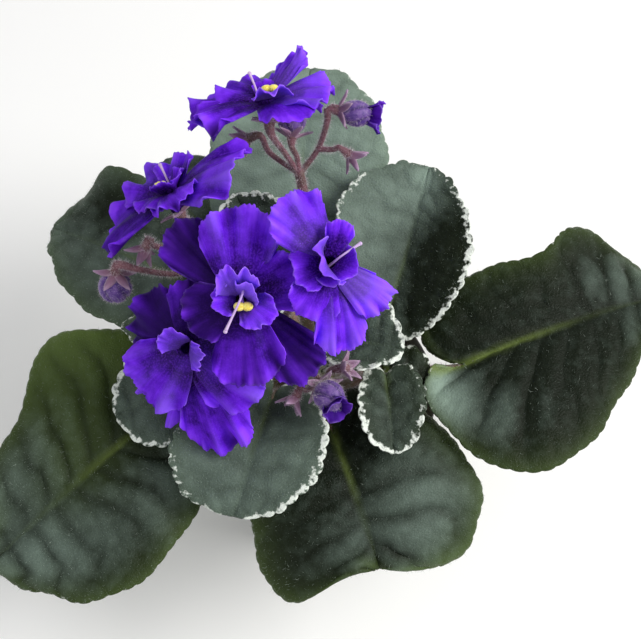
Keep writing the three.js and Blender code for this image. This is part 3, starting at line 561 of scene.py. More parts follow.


# %% [markdown]
# ## Leaf plans
# Each leaf has a stem from the crown, and a heart-shaped blade from base to tip. These are the
# frame's own plans, with the looks of each leaf added at the end. What a leaf leaves out is plain.
# seat is the height on the crown where the stem grows; base is where the stem meets the blade, and
# tip is the end of the midrib; left and right are the margins in the leaf's plane, from the lobe
# behind the base to the tip, and right mirrors left where it isn't given; lean turns it about the
# midrib, arch lifts the midrib, fold slopes the halves, curl lifts the margins; wave is the height,
# number and start of the margin's waves; bumps are local rises: place, side, spread and height.
# Tone goes from 0, dark green, to 1, grey sage; olive and frost are how far the margin is olive or
# white with hairs; patches are painted highlights and painted shade, which shift the tone about a
# place: s, t, spread, amount. Moss shifts the olive in the same way, and bare thins the white hairs
# of the margin; quilt scales the pillows and their painted highlights and shade.

# %% Leaf plans
# The patches of each leaf are painted highlights where their amount is above 0, painted shade below
LEAVES = {
    "leaf_left_front": dict(
        seat=81, base=(-42, -10, 95), tip=(-98, -60, 82),
        left=[
            (-12, 3), (-13, 15), (0, 25), (18, 31), (38, 36), (52, 35), (65, 25), (74, 10), (77, 2),
        ],
        right=[
            (-13, -3), (-14, -16), (-3, -29), (14, -42), (26, -41),
            (37, -31), (56, -24), (71, -12), (77, -2),
        ],
        lean=-4, arch=5, fold=0.12, curl=-7, wave=(2.4, 1.6, 0.1), bumps=[(0.45, -1, 0.12, -3)],
        tone=0.0, olive=0.4, frost=0.05,
        patches=[
            (0.8, 0.35, 0.28, 0.6), (0.4, 0.7, 0.16, 0.3), (0.8, -0.6, 0.2, 0.5),
            (0.1, -0.5, 0.12, 0.3),
        ],
        moss=[
            (0.3, -0.9, 0.25, 0.85), (0.15, 0.2, 0.15, 0.15), (0.5, -0.15, 0.2, 0.2),
            (0.95, -0.5, 0.1, 0.4),
        ],
    ),
    "leaf_front": dict(
        seat=81, base=(5, -19, 92), tip=(21, -64, 80),
        left=[
            (-10, 3), (-13, 13), (-5, 25), (14, 33), (32, 37), (45, 32), (52, 20), (49, 7), (46, 1),
        ],
        right=[
            (-8, -3), (-9, -12), (-2, -23), (14, -31), (31, -35),
            (43, -33), (47, -25), (44, -12), (45, -3),
        ],
        lean=4, arch=5, fold=0.16, curl=-6, wave=(2.4, 1.4, 0.55), bumps=[(0.8, 1, 0.12, 3)],
        tone=0.06, olive=0.45, frost=0.05,
        patches=[(0.6, 0.55, 0.22, 0.45), (0.75, -0.2, 0.18, 0.28), (0.95, 0.8, 0.12, 0.3)],
        moss=[(0.95, -0.3, 0.1, 0.25), (0.85, 0.95, 0.12, 0.3)],
    ),
    "leaf_right": dict(
        seat=81, base=(48, 1, 96), tip=(112, 28.5, 88),
        left=[
            (-5, 3), (-9, 10), (-7, 19), (4, 27), (22, 27), (38, 25),
            (48, 30), (54, 31), (64, 25), (73, 12), (73, 3),
        ],
        right=[
            (-9, 1), (-15, -3), (-17, -12), (-13, -27), (-4, -38),
            (12, -42), (27, -37), (44, -26), (60, -14), (71, -3),
        ],
        lean=3, arch=5, fold=0.14, curl=-5, wave=(2, 1.5, 0.35),
        bumps=[(0.08, -1, 0.2, 7), (0.6, 1, 0.12, 2)],
        tone=-0.03, olive=0.35, frost=0.08,
        patches=[
            (0.03, -0.7, 0.16, 2.3), (0.3, -0.65, 0.1, 0.2), (0.8, 0.3, 0.2, 0.3),
            (0.9, -0.4, 0.2, 0.35), (0.95, 0.8, 0.1, 0.5),
        ],
    ),
    "leaf_right_back": dict(
        seat=86, base=(24, 17, 101), tip=(38, 66, 114),
        left=[(-7, 2), (-8, 9), (2, 18), (18, 23), (32, 25), (43, 19), (50, 8), (51, 2)],
        right=[(-6, -2), (-8, -7), (-4, -13), (6, -19), (21, -21), (34, -18), (45, -11), (51, -3)],
        arch=-2, fold=0.26, curl=2, wave=(1, 2, 0.2),
        tone=0.42, olive=0.05, frost=1, quilt=0.4,
        patches=[(0.55, 0.7, 0.5, 0.4), (0.45, -0.6, 0.38, -0.7), (1, 0, 0.25, 0.8)],
        bare=[(1, -0.9, 0.18, 1), (0.95, 0.9, 0.25, 1), (0.5, 1, 0.25, 0.45)],
    ),
    "leaf_back": dict(
        seat=85, base=(-6, 44, 98), tip=(-2, 102, 114),
        left=[(-9, 4), (-11, 14), (0, 25), (18, 31), (36, 30), (52, 25), (61, 13), (63, 3)],
        right=[
            (-9, -3), (-11, -13), (0, -23), (16, -28), (34, -28), (52, -21), (61, -10), (63, -3),
        ],
        arch=4, fold=0.12, curl=-3, wave=(1.8, 1.5, 0.5),
        tone=1.1, olive=0.15, frost=0.2,
        patches=[(0.6, 0.5, 0.12, -0.3), (0.3, -0.4, 0.15, -0.2)], quilt=0.55,
    ),
    "leaf_left_back": dict(
        seat=84, base=(-36, 25, 98), tip=(-88, 50, 98),
        left=[(-9, 3), (-10, 12), (0, 20), (16, 24), (36, 22), (50, 12), (57, 2)],
        right=[
            (-9, -3), (-10, -11), (0, -18), (18, -25), (36, -28), (52, -24), (57, -12), (58, -3),
        ],
        lean=3, arch=4, fold=0.14, curl=-4, wave=(2.2, 1.8, 0.75), bumps=[(0.72, -1, 0.08, 6)],
        tone=0.42, olive=0.3, frost=0.15,
        patches=[(0.65, -0.5, 0.2, -0.45)], quilt=0.55,
    ),
    "leaf_back_left_low": dict(
        seat=80, base=(-24, 46, 91), tip=(-53, 80, 94),
        left=[(-7, 2), (-8, 10), (2, 18), (17, 21), (33, 16), (42, 6), (45, 2)],
        arch=4, fold=0.12, curl=-3, wave=(1.6, 1.5, 0.3),
        tone=0.5, olive=0.2, frost=0.3,
    ),
    "leaf_inner_back": dict(
        seat=89.5, base=(-10, 22, 105), tip=(-26, 54, 112),
        left=[(-5, 2), (-6, 8), (2, 15), (14, 18), (26, 14), (34, 6), (37, 1)],
        arch=2, fold=0.2, curl=1, wave=(1, 2, 0.2),
        tone=0.25, olive=0.05, frost=1,
    ),
    "leaf_inner_front": dict(
        seat=89, base=(-13, -15, 105), tip=(-24, -50, 98),
        left=[(-6, 2), (-7, 8), (-1, 16), (9, 21), (20, 21), (31, 15), (37, 5)],
        right=[(-6, -2), (-8, -9), (-1, -18), (14, -23), (27, -23), (35, -17), (38, -5)],
        arch=3, fold=0.14, curl=0, wave=(0.8, 2, 0.6),
        tone=0.52, olive=0.1, frost=1, patches=[(0.2, 0, 0.25, -0.25)], quilt=0.4,
        bare=[(0.6, -1, 0.4, 0.6), (1, 0, 0.2, 0.4)],
    ),
    "leaf_inner_left": dict(
        seat=86, base=(-36, -6, 101), tip=(-60, -18, 100),
        left=[(-5, 2), (-6, 8), (2, 15), (14, 18), (24, 13), (28, 3)],
        right=[(-5, -2), (-6, -7), (2, -13), (14, -16), (23, -10), (28, -2)],
        lean=-7, arch=2, fold=0.04, curl=1, wave=(0.8, 2, 0.1),
        tone=0.45, olive=0.1, frost=1, quilt=0.6,
    ),
    "leaf_left": dict(
        seat=88.5, base=(-27, 6, 101), tip=(-59, 9, 106),
        left=[(-4, 2), (-5, 8), (2, 13), (12, 15), (24, 11), (31, 4), (34, 1)],
        right=[(-4, -2), (-5, -7), (2, -11), (12, -13), (24, -10), (31, -4), (34, -1)],
        arch=3, fold=0.1, curl=-1, wave=(1, 2, 0.5),
        tone=0.4, olive=0.2, frost=0.6,
    ),
    "leaf_inner_right": dict(
        seat=90, base=(9, 2, 110), tip=(27, -3, 113),
        left=[(-4, 2), (-4, 8), (2, 13), (11, 13), (17, 6), (19, 1)],
        right=[(-4, -2), (-4, -8), (3, -12), (12, -11), (18, -5), (19, -1)],
        arch=1.5, fold=0.25, curl=1.5, wave=(0.6, 2, 0.4),
        tone=0.35, olive=0.1, frost=1, quilt=0.6,
    ),
    "leaf_small_front_right": dict(
        seat=90, base=(22, -9, 106), tip=(24, -32, 101),
        left=[(-3, 1), (-4, 7), (4, 11), (13, 10), (20, 7), (23, 2)],
        right=[(-3, -1), (-4, -5), (3, -9), (11, -10), (19, -7), (23, -1)],
        arch=1.5, fold=0.2, curl=1.5, wave=(0.5, 2, 0.8),
        tone=0.25, olive=0.1, frost=1, quilt=0.6, bare=[(0.4, 1, 0.35, 0.8)],
    ),
    "leaf_small_right": dict(
        seat=86, base=(21.5, -1, 96.5), tip=(36, -10, 94.5),
        left=[(-2, 3), (-2, 7), (4, 11), (10, 10), (15, 6), (16, 1)],
        right=[(-2, -2), (-2, -5), (3, -8), (10, -8), (15, -5), (17, -1)],
        arch=1.5, fold=0.12, curl=0, wave=(0.8, 2, 0.3),
        tone=0.1, olive=0.1, frost=0.5,
    ),
}
print(len(LEAVES), "leaves planned")

# %% Read a leaf's plan
PLAIN_LEAF = dict(lean=0, bumps=[], patches=[], moss=[], bare=[], quilt=1)
LONG_BLADE = 41
TOOTH_PITCH = 4.4


def whole_plan(leaf):
    """A leaf's plan with what it leaves out."""
    mirrored = [(along, -across) for along, across in leaf["left"]]
    return PLAIN_LEAF | {"right": mirrored} | leaf


def leaf_axes(leaf):
    """The directions of a leaf: along its midrib, to its left, and out of its upper face."""
    base = Vector(leaf["base"])
    along = Vector(leaf["tip"]) - base
    length = along.length
    along.normalize()
    left = Vector((0, 0, 1)).cross(along).normalized()
    left = Matrix.Rotation(math.radians(leaf["lean"]), 3, along) @ left
    return base, along, left, along.cross(left), length


def is_long(leaf):
    return math.dist(leaf["tip"][:2], leaf["base"][:2]) > LONG_BLADE


def tooth_count(leaf):
    """Teeth on each margin, so many that they are about the same size on every leaf."""
    return round((Route(leaf["left"]).length + Route(leaf["right"]).length) / 2 / TOOTH_PITCH)


print("teeth on a margin:", [tooth_count(whole_plan(leaf)) for leaf in LEAVES.values()])

# %% [markdown]
# ## The grid of a blade
# A row of the grid runs from the midrib to the margin, and bows back on its way as a side vein
# does. The margin of the real leaf is cut into small rounded teeth. They are counted by the
# margin's own length, so that they are the same size on every leaf, and stand square to it. Where
# the margin runs along a row of the grid, as beside the base, teeth would fold the grid, so they
# fade there.

# %% Lay the grid on the plan
TOOTH_HEIGHT = 0.9
LOW_TOOTH = 0.35
ASLANT = 0.6
TOOTHLESS_END = 0.05
MARGIN_STEP = 0.005
BOW = 0.06


def blade_plan(leaf):
    """How (s, t) lies on a leaf: along, across, the rise, and how far inside the margin it is."""
    length = (leaf["left"][-1][0] + leaf["right"][-1][0]) / 2
    margins = [Route(leaf["left"]), Route(leaf["right"])]
    waves = 12 if is_long(leaf) else 8
    teeth = tooth_count(leaf)
    height = mix(LOW_TOOTH, TOOTH_HEIGHT, leaf["frost"])

    def margin(s, t):
        return np.where((t > 0)[:, None], margins[0].at(s), margins[1].at(s))

    def plan(s, t):
        reach = np.abs(t)
        edge = margin(s, t)
        # The way of the margin against the spoke that leads to it says where teeth can stand
        way = margin(s + MARGIN_STEP, t) - margin(s - MARGIN_STEP, t)
        way = way * np.where(t > 0, 1, -1)[:, None]
        way = way / np.hypot(way[:, 0], way[:, 1])[:, None]
        spoke = edge - np.outer(s, (length, 0))
        span = np.maximum(np.hypot(spoke[:, 0], spoke[:, 1]), 1)
        square = np.abs(way[:, 0] * spoke[:, 1] - way[:, 1] * spoke[:, 0]) / span
        calm = np.clip(square / ASLANT, 0, 1)
        calm = calm * np.clip(np.minimum(s, 1 - s) / TOOTHLESS_END, 0, 1)
        stretch = 1 - 0.012 * np.cos(np.pi * waves * s) * reach**6 * calm
        tooth = (np.abs(np.sin(np.pi * teeth * s)) ** 0.7 - 0.6) * height
        # The rows bow back between midrib and margin, as side veins do
        bow = -BOW * length * np.sin(np.pi * reach) * np.minimum(1, s / 0.12) * (1 - s)
        x = mix(length * s, edge[:, 0] * stretch, reach) + bow
        y = edge[:, 1] * stretch * reach
        grown = tooth * reach ** (span / 1.5) * np.minimum(1, span / 4) * calm
        x -= way[:, 1] * grown
        y += way[:, 0] * grown
        travel = x / length
        rise = leaf["arch"] * 4 * travel * (1 - travel) + leaf["fold"] * np.sqrt(y * y + 4)
        rise += leaf["curl"] * (y / (0.6 * length)) ** 2
        for spot, half, spread, top in leaf["bumps"]:
            rise += top * np.exp(-(((s - spot) / spread) ** 2)) * np.maximum(0, t * half) ** 2
        behind = s * margins[0].length * reach + 100 * (1 - reach) ** 2
        return x, y, rise, np.minimum((1 - reach) * span, behind)

    return plan


# %% [markdown]
# ## The quilt of a blade
# On the real leaf the side veins are sunk, and the tissue between them swells into soft pillows
# that smaller veins divide again. A bump in the material could show that, but real relief also
# changes the outline and catches the light from every side. The side veins cross the grid with a
# slow sway, so the pillows are a wave between them, and a cell pattern makes the smaller ones. The
# same distances give the values that the skin reads for its colours, and with them painted
# highlights on the pillows and cells and painted shade in the sunk veins and between the cells.

# %% Quilt the blade
VEIN_PITCH = 8.5
FEWEST_VEINS = 5
CELL_SIZE = 6


def closer_to_margin(t):
    """Moves the columns of a grid towards the margins, where the form is finer."""
    return np.sign(t) * (1 - (1 - np.abs(t)) ** 1.35)


def cell_edges(x, y, shift):
    """How deep each place lies in its cell: 0 on an edge between cells, 1 well inside."""
    inside = []
    for across, depth in zip(x, y):
        point = Vector((across, depth, 0)) / CELL_SIZE + Vector((shift, 0, shift))
        near, next_near = noise.voronoi(point)[0][:2]
        inside.append(min(1, (next_near - near) * 2.5))
    return np.array(inside)


def patch_at(patch, s, t):
    """How far a patch reaches each place of a blade."""
    at_s, at_t, spread, amount = patch
    return amount * np.exp(-((s - at_s) ** 2 + (0.5 * (t - at_t)) ** 2) / spread**2)


def blade_forms(leaf, shift):
    """The place, relief and values of a blade, and the way its upper face looks."""
    base, along, left, out, length = leaf_axes(leaf)
    plan = blade_plan(leaf)
    height, count, start = leaf["wave"]
    quilt = leaf["quilt"]
    frost = leaf["frost"]
    swell = min(1.7, 0.08 * abs(leaf["left"][2][1])) * quilt
    side_veins = max(FEWEST_VEINS, round(length / VEIN_PITCH))
    lip = 0.9 * frost

    def place(s, t):
        x, y, rise, _ = plan(s, closer_to_margin(t))
        return np.array(base) + np.outer(x, along) + np.outer(y, left) + np.outer(rise, out)

    def pillows(s, t):
        """How near a side vein is, in mm, and how far the pillow beside it swells, 0 to 1."""
        side = np.where(t > 0, 7.3, 0) + shift
        sway = [noise.noise(Vector((3 * abs(v), 5 * u, w))) for u, v, w in zip(s, t, side)]
        line = side_veins * s + 0.8 * np.array(sway) * np.abs(t)
        strength = 0.5 + 0.5 * np.sin(5.1 * np.floor(line) + 2.3 * side)
        nearest = np.abs(line - np.round(line)) / side_veins * length
        return nearest, np.abs(np.sin(np.pi * line)) * mix(0.35, 1, strength)

    def marks(s, t):
        """Distance from the margin, nearness to midrib and side veins, pillow and cell."""
        x, y, _, inward = plan(s, t)
        nearest, pillow = pillows(s, t)
        midrib = np.exp(-((y / mix(1.3, 0.5, s)) ** 2))
        veins = np.exp(-((nearest / 1.6) ** 2)) * (1 - np.abs(t) ** 3) * np.minimum(1, 5 * s)
        return inward, midrib, veins, pillow, cell_edges(x, y, shift)

    def white(s, t):
        """How white the margin is along its way: fully, or less where its hairs are few."""
        share = np.ones_like(s)
        for patch in leaf["bare"]:
            share = share * (1 - np.clip(patch_at(patch, s, t), 0, 1))
        return share

    def relief(s, t):
        t = closer_to_margin(t)
        inward, midrib, _, pillow, cells = marks(s, t)
        swing = 2 * np.pi * (count * s + start + np.where(t > 0, 0, 0.37))
        wave = height * t * t * np.sin(swing) * np.minimum(1, (1 - s) / 0.1)
        pillow = pillow**0.8 * np.sin(np.pi * np.abs(t)) ** 0.6
        cell = 0.5 * cells * np.minimum(1, inward / 3)
        beads = np.abs(np.sin(np.pi * tooth_count(leaf) * s)) * np.exp(-inward / 1.2)
        edge = lip * (0.6 * np.exp(-inward / 1.6) + 0.5 * beads) * white(s, t)
        return wave + swell * pillow + cell - mix(0.9, 0.3, s) * midrib + edge

    def values(s, t):
        t = closer_to_margin(t)
        inward, midrib, veins, pillow, cells = marks(s, t)
        pillow = pillow**1.3 * np.sin(np.pi * np.abs(t)) ** 0.7
        # Lighter on the pillows and the cells: painted highlights. The patches paint highlights and
        # shade.
        tone = leaf["tone"] - 0.12 - 0.02 * quilt + 0.17 * quilt * pillow + 0.06 * cells
        for patch in leaf["patches"]:
            tone = tone + patch_at(patch, s, t) * mix(1, 0.75 + 0.3 * pillow, quilt)
        olive = leaf["olive"] * np.exp(-inward / 4)
        for patch in leaf["moss"]:
            olive = olive + patch_at(patch, s, t)
        rim = np.exp(-((inward / mix(0.8, 2.2, frost)) ** 2))
        return {
            "rib": midrib * np.clip(1 - 1.6 * s, 0.08, 0.9) * mix(1, 0.4, frost),
            # The vein mark is painted shade in the sunk veins and between the cells on top, and the
            # veins' own colour below
            "vein": np.clip(0.8 * veins * quilt + 0.12 * (1 - cells), 0, 1) * (1 - midrib),
            "tone": np.clip(tone, 0, 1.35),
            "olive": np.clip(olive, 0, 1),
            "frost": np.clip((frost * white(s, t) + 0.2) * rim, 0, 1),
            "fuzz": np.clip(0.12 + 0.3 * tone + 0.7 * np.exp(-inward / 2), 0, 1),
            "body": np.clip(0.35 + inward / 2, 0, 1),
        }

    return place, relief, values, out


# %% [markdown]
# ## From sheet to leaf
# Solidify gives a blade its thickness. It follows a vertex group, which thins the blade towards
# its margin. The rows of the grid are counted by the teeth, five to a tooth, so that each tooth is
# round. The stem is a tube from the crown that ends under the midrib, where the blade rests on it.

# %% Blade, thickness and stem
ROWS_A_TOOTH = 5
BLADE_VALUES = ("rib", "vein", "tone", "olive", "frost", "fuzz", "body")


def thicken(made, thickness, underside):
    """Gives a sheet its thickness, thinner towards the margin, with its own underside."""
    group = made.vertex_groups.new(name="body")
    for index, stored in enumerate(made.data.attributes["body"].data):
        group.add([index], stored.value, "REPLACE")
    solid = made.modifiers.new("thickness", "SOLIDIFY")
    solid.thickness = thickness * MM
    solid.offset = 0
    solid.vertex_group = "body"
    solid.material_offset = 1 if underside else 0


def leaf_stem(name, leaf):
    """The round stem from the crown to the blade, and on under its midrib."""
    base, along, _, out, length = leaf_axes(leaf)
    outward = Vector((base.x, base.y, 0)).normalized()
    thick = mix(1.1, 2.3, min(1, length / 65))
    place = blade_forms(leaf, 0)[0]

    def under(s, drop):
        return Vector(place(np.array([s]), np.array([0.0]))[0]) - out * drop

    near = outward * (CROWN_RADIUS + 2)
    near.z = leaf["seat"]
    half = outward * mix(CROWN_RADIUS, math.hypot(base.x, base.y), 0.55)
    half.z = mix(leaf["seat"], base.z, 0.62)
    meet = under(0, thick) - along * 0.03 * length
    start = outward * (CROWN_RADIUS - 2)
    start.z = leaf["seat"] - 0.4
    points = [start, near, half, meet, under(0.14, 1 + thick * 0.4)]
    shape = Shape()
    shape.tube(points, [thick * 1.15, thick * 1.1, thick, thick * 0.9, 0.5], 12, 18)
    return shape.piece(name + "_stem", [PETIOLE_SKIN], "leaf")


def leaf_blade(name, leaf, shift):
    """The quilted blade, as a sheet that is thickened later."""
    shape = Shape(*BLADE_VALUES)
    columns = 44 if is_long(leaf) else 32
    shape.sheet(tooth_count(leaf) * ROWS_A_TOOTH, columns, *blade_forms(leaf, shift))
    return shape.piece(name + "_blade", [LEAF_SKIN, LEAF_UNDERSIDE], "leaf", replaces=[name])


# %% Make the leaves
LEAF_THICKNESS = 1.1
CROWN_RADIUS = 6.5

for number, (name, plan) in enumerate(LEAVES.items()):
    leaf = whole_plan(plan)
    blade = leaf_blade(name, leaf, number)
    stem = leaf_stem(name, leaf)
    grow_hairs(blade, name + "_hairs", LEAF_FUZZ, 2.6, 1.5, 0.045, number, field="fuzz")
    grow_hairs(
        blade, name + "_long_hairs", LEAF_FUZZ, 0.09, 2.2, 0.05, 90 + number, lean=1.2
    )
    grow_hairs(stem, name + "_stem_hairs", STEM_FUZZ, 3, 1.6, 0.035, number)
    thicken(blade, LEAF_THICKNESS, True)
    print(name, len(blade.data.polygons), "blade faces")

# %% [markdown]
# ## Petal skin
# The petals are deep violet in the throat and brighter outwards, softly clouded, with faint streaks
# along them and a paler rim in places. The dark throat is partly their own colour and partly
# painted shade. The brightest violet at the ends, a fine sparkle, and the crests are painted
# highlights, and the hollows painted shade. The stored reach gives the shift from throat to margin,
# and the stored light that of crests and hollows, with the painted shade or highlight of each petal
# and the paler own colour of the petaloids. Noise that is stretched along the blade's own UV gives
# the streaks.

# %% Mix the petal colours
# The throat colour is partly the petals' own and partly painted shade; the lit violet is a painted
# highlight
PETAL_THROAT = shown(24, 0, 60)
PETAL_MIDDLE = shown(66, 12, 156)
PETAL_OUTER = shown(118, 40, 244)
PETAL_LIT = shown(134, 60, 250)
PETAL_RIM = shown(176, 140, 240)
# painted shade, for hollows and petals turned from the lamp
PETAL_SHADE = shown(28, 4, 66)
# the petaloids' own paler colour, and painted highlights on crests
PETAL_PALE = shown(152, 108, 252)
STREAKS = (1.5, 34, 1)


def petal_skin():
    look = Recipe(
        "petal skin", 0.6, PETAL_THROAT, Specular_IOR_Level=0.06,
        Sheen_Weight=0.03, Sheen_Roughness=0.4, Sheen_Tint=shown(150, 110, 255),
    )
    blade = look.node("ShaderNodeUVMap", uv_map="blade").outputs["UV"]
    lines = look.node("ShaderNodeMapping", {"Vector": blade, "Scale": STREAKS}).outputs[0]
    fine = {"Vector": lines, "Scale": 1, "Detail": 3}
    streak = look.node("ShaderNodeTexNoise", fine).outputs["Fac"]
    streaks = look.steps(streak, 0.3, 0.7, -0.08, 0.08)
    shift = look.plus(streaks, look.clouds(7, 2, 0.3, 0.7, -0.3, 0.25))
    reach = look.plus(look.attribute("reach"), shift)
    light = look.attribute("light")
    # Darker towards the throat, partly own colour and partly painted shade
    look.over(look.steps(reach, 0.1, 0.6), PETAL_MIDDLE)
    look.over(look.steps(reach, 0.45, 1), PETAL_OUTER)
    # Painted highlights at the ends of the petals, and as a fine sparkle
    look.over(look.steps(reach, 0.85, 1.15), PETAL_LIT)
    look.over(look.clouds(0.5, 1, 0.45, 0.8, 0, 0.3), PETAL_LIT)
    # Painted shade where light is below 0, painted highlights and the petaloids' paler colour above
    # it
    look.over(look.steps(light, 0, -0.5, 0, 0.9), PETAL_SHADE)
    look.over(look.steps(light, 0.05, 0.6, 0, 0.7), PETAL_PALE)
    ragged = look.clouds(1.6, 2, 0.35, 0.7, 0, 0.45)
    look.over(look.times(look.attribute("rim"), ragged), PETAL_RIM)
    look.bump(look.grain(0.45, 2), 0.2, 0.4)
    return look.material


PETAL_SKIN = petal_skin()
print("mixed", PETAL_SKIN.name)

# %% [markdown]
# ## Petals
# A semi-double bloom has six broad petals and a few small ones, joined to a short tube. Each is a
# fan whose margin is too long for its width, so it ruffles, and the ruffles get finer towards the
# edge. A sheet holds the broad form. Smooth noise of three pitches, most of it near the margin,
# ruffles it. These are the frame's own plans. A bloom sits at its throat and faces along face.
# Turns are in degrees, anticlockwise from its right. A petal is (turn, length, width, pitch, curl,
# roll, light): pitch tilts it towards its face, curl lifts its end, roll turns it about its middle
# line, and light paints it darker or paler: painted shade on petals turned from the lamp, painted
# highlights on those turned to it, and the paler own colour of the small petaloids.

# %% Bloom plans
BLOOMS = {
    "back": dict(
        throat=(-14, 57, 158), face=(-0.1, 0.69, 0.72),
        petals=[
            (178, 26, 28, -1, -2, -18, 0), (214, 22, 20, -2, -2, -10, -0.15),
            (148, 18, 22, 14, 1, -10, 0.05),
            (62, 20, 12, 30, 3, 0, 0.2), (16, 20, 24, 7, 0, 14, 0.2), (-32, 18, 22, -3, -2, 8, 0),
        ],
        petaloids=[(-58, 13, 13, 20, 0, 0, 0.3), (105, 9, 9, 45, 0, 0, 0)],
        anthers=(1, 1, 3.8),
        style=[(-1.8, -0.8, -2), (-3, 0, 4), (-4.8, 1, 8.5)],
    ),
    "left": dict(
        throat=(-42, 33, 145), face=(-0.37, 0.63, 0.675),
        petals=[
            (207, 29, 30, -8, -2, -20, -0.2), (168, 22, 22, 10, 1, -12, 0),
            (108, 15, 15, 34, 1, 0, 0.1), (14, 30, 27, 9, -1, 32, 0.1), (-28, 17, 18, 6, -2, 8, 0),
            (-88, 12, 16, 6, -1, 0, -0.1),
        ],
        petaloids=[(60, 9, 10, 48, 0, 0, 0), (-70, 8, 9, 45, 0, 0, 0)],
        anthers=(-3, -0.5, 3.6),
        style=[(-1.6, 1.5, -2), (-3.6, 2.8, 4), (-5, 3.5, 8.5)],
    ),
    "centre": dict(
        throat=(-20, -6, 152), face=(0, -0.469, 0.883),
        petals=[
            (92, 25.5, 24, 9, -2, 0, 0.05), (133, 29.5, 19, -8, -3, 0, -0.5),
            (200, 17, 18, 1, -2, 0, -0.45),
            (276, 24.5, 22, 0, -2, 0, -0.25), (313, 31, 18, -10, -3, 0, -0.4),
            (22, 19.5, 18, 11, -1, 0, -0.1),
        ],
        petaloids=[
            (102, 15, 14, 48, 3, 0, 0.35), (62, 11, 11, 60, 1, 0, 0.5),
            (184, 10, 10, 40, 0, 0, 0.1), (322, 13, 12, 36, 0, 0, 0.15),
        ],
        anthers=(0.8, -2.2, 4),
        style=[(-1.2, 1.5, -2), (0.2, 3, 2.5), (0.8, 1.5, 6), (-3.8, -9, 7.5)],
    ),
    "right": dict(
        throat=(4, 1, 159), face=(0.35, -0.3, 0.85),
        petals=[
            (127, 22.5, 20, 8, -1, 0, 0.15), (80, 13, 9, 30, 1, 0, 0),
            (-35, 20.5, 14, 4, -2, 0, 0.3), (-78, 24.5, 17, -6, -3, 0, 0.1),
            (246, 16, 16, -2, -2, 0, 0), (190, 12, 15, 9, 0, 0, -0.1),
        ],
        petaloids=[(205, 11, 14, 56, 0, 0, 0.3), (-40, 9, 14, 44, 0, 0, -0.1)],
        style=[(0, -1, -2), (2.5, 1.5, 2.5), (8, 5, 4)],
    ),
    "front": dict(
        throat=(-36, -13, 136.5), face=(-0.3, -0.6, 0.7),
        petals=[
            (220, 22, 25, 5, -3, 0, 0.1), (325, 25, 26, 0, -3, 0, 0.1),
            (279, 36, 23, -11, -3, 0, 0), (236, 30, 17, -13, -3, 0, 0),
            (152, 22, 24, -9, -2, 0, -0.5), (68, 20, 22, -6, -1, 0, -0.35),
        ],
        petaloids=[(120, 11, 10, 50, 0, 0, 0.2), (350, 13, 9, 48, 0, 0, 0.3)],
    ),
}
BUDS = {
    "back_right": dict(
        throat=(12, 59, 150), face=(0.85, -0.1, -0.1), radius=4, length=10, foot=3,
        petals=[
            (60, 8, 9, 50, 0, 0, -0.3), (180, 7, 8, 55, 0, 0, -0.3), (300, 8, 9, 50, 0, 0, -0.3),
        ],
    ),
    "back_middle": dict(
        throat=(-7, 60, 145), face=(0, 0.75, 0.6), radius=4.6, length=10, foot=3,
        petals=[(turn, 8, 9, 45, 0, 0, -0.3) for turn in (90, 210, 330)],
    ),
    "left": dict(
        throat=(-59, 10, 131), face=(-0.15, -0.35, -0.9), radius=5, length=9.6, petals=[],
    ),
    "front": dict(
        throat=(4, -20, 119), face=(0.3, -0.6, 0.2), radius=4.6, length=10, foot=2.6,
        petals=[(turn, 7, 9, 52, 0, 0, -0.45) for turn in (30, 150, 270)],
    ),
}
CALYXES = {
    "back_right": dict(throat=(13, 49, 140), face=(0.7, -0.3, -0.35)),
    "back_left": dict(throat=(-23, 54, 143), face=(-0.75, 0, -0.3)),
    "left": dict(throat=(-51, 18.5, 134.5), face=(-0.35, -0.3, -0.75)),
    "low_right": dict(throat=(11, -12, 121), face=(0.8, -0.1, 0.45)),
    "low_left": dict(throat=(-7, -21, 113), face=(-0.35, -0.6, -0.3)),
}
print(len(BLOOMS), "blooms,", len(BUDS), "buds and", len(CALYXES), "spent calyxes planned")

# %% Directions of a flower
def flower_axes(flower):
    """The directions of a bloom, bud or calyx: its throat, its face, up, and to its right."""
    throat = Vector(flower["throat"])
    face = Vector(flower["face"]).normalized()
    up = (VIEW_UP - face * VIEW_UP.dot(face)).normalized()
    return throat, face, up, up.cross(face)


def flower_turn(flower):
    """The turn that leads from the world's directions to a flower's own."""
    _, face, up, right = flower_axes(flower)
    return Matrix((right, up, face)).transposed().to_quaternion()


def in_flower(flower, x, y, z):
    """A place in a flower's own directions, as a point in millimetres."""
    throat, face, up, right = flower_axes(flower)
    return throat + right * x + up * y + face * z


def spoke_axes(flower, angle, tilt, roll=0):
    """The directions of a petal or sepal: along it, across it, and out of its upper face."""
    _, face, up, right = flower_axes(flower)
    outward = right * math.cos(angle) + up * math.sin(angle)
    along = outward * math.cos(tilt) + face * math.sin(tilt)
    across = Matrix.Rotation(roll, 3, along) @ face.cross(outward)
    return along, across, along.cross(across)


for name, bloom in BLOOMS.items():
    print("bloom", name, "faces", [round(v, 2) for v in flower_axes(bloom)[1]])

# %% The form of a petal
PETAL_START = 2.1
FOOT_SPREAD = 1.6
SMALL_PETAL = 16
RAISED = 30


def wander(values, pitch, seed):
    """Smooth random ups and downs along a line, from about -1 to 1, pitch apart."""
    fresh, back = np.unique(np.round(values, 4), return_inverse=True)
    heights = [noise.noise(Vector((value / pitch, seed, 0.5 * seed))) * 1.8 for value in fresh]
    return np.array(heights)[back]


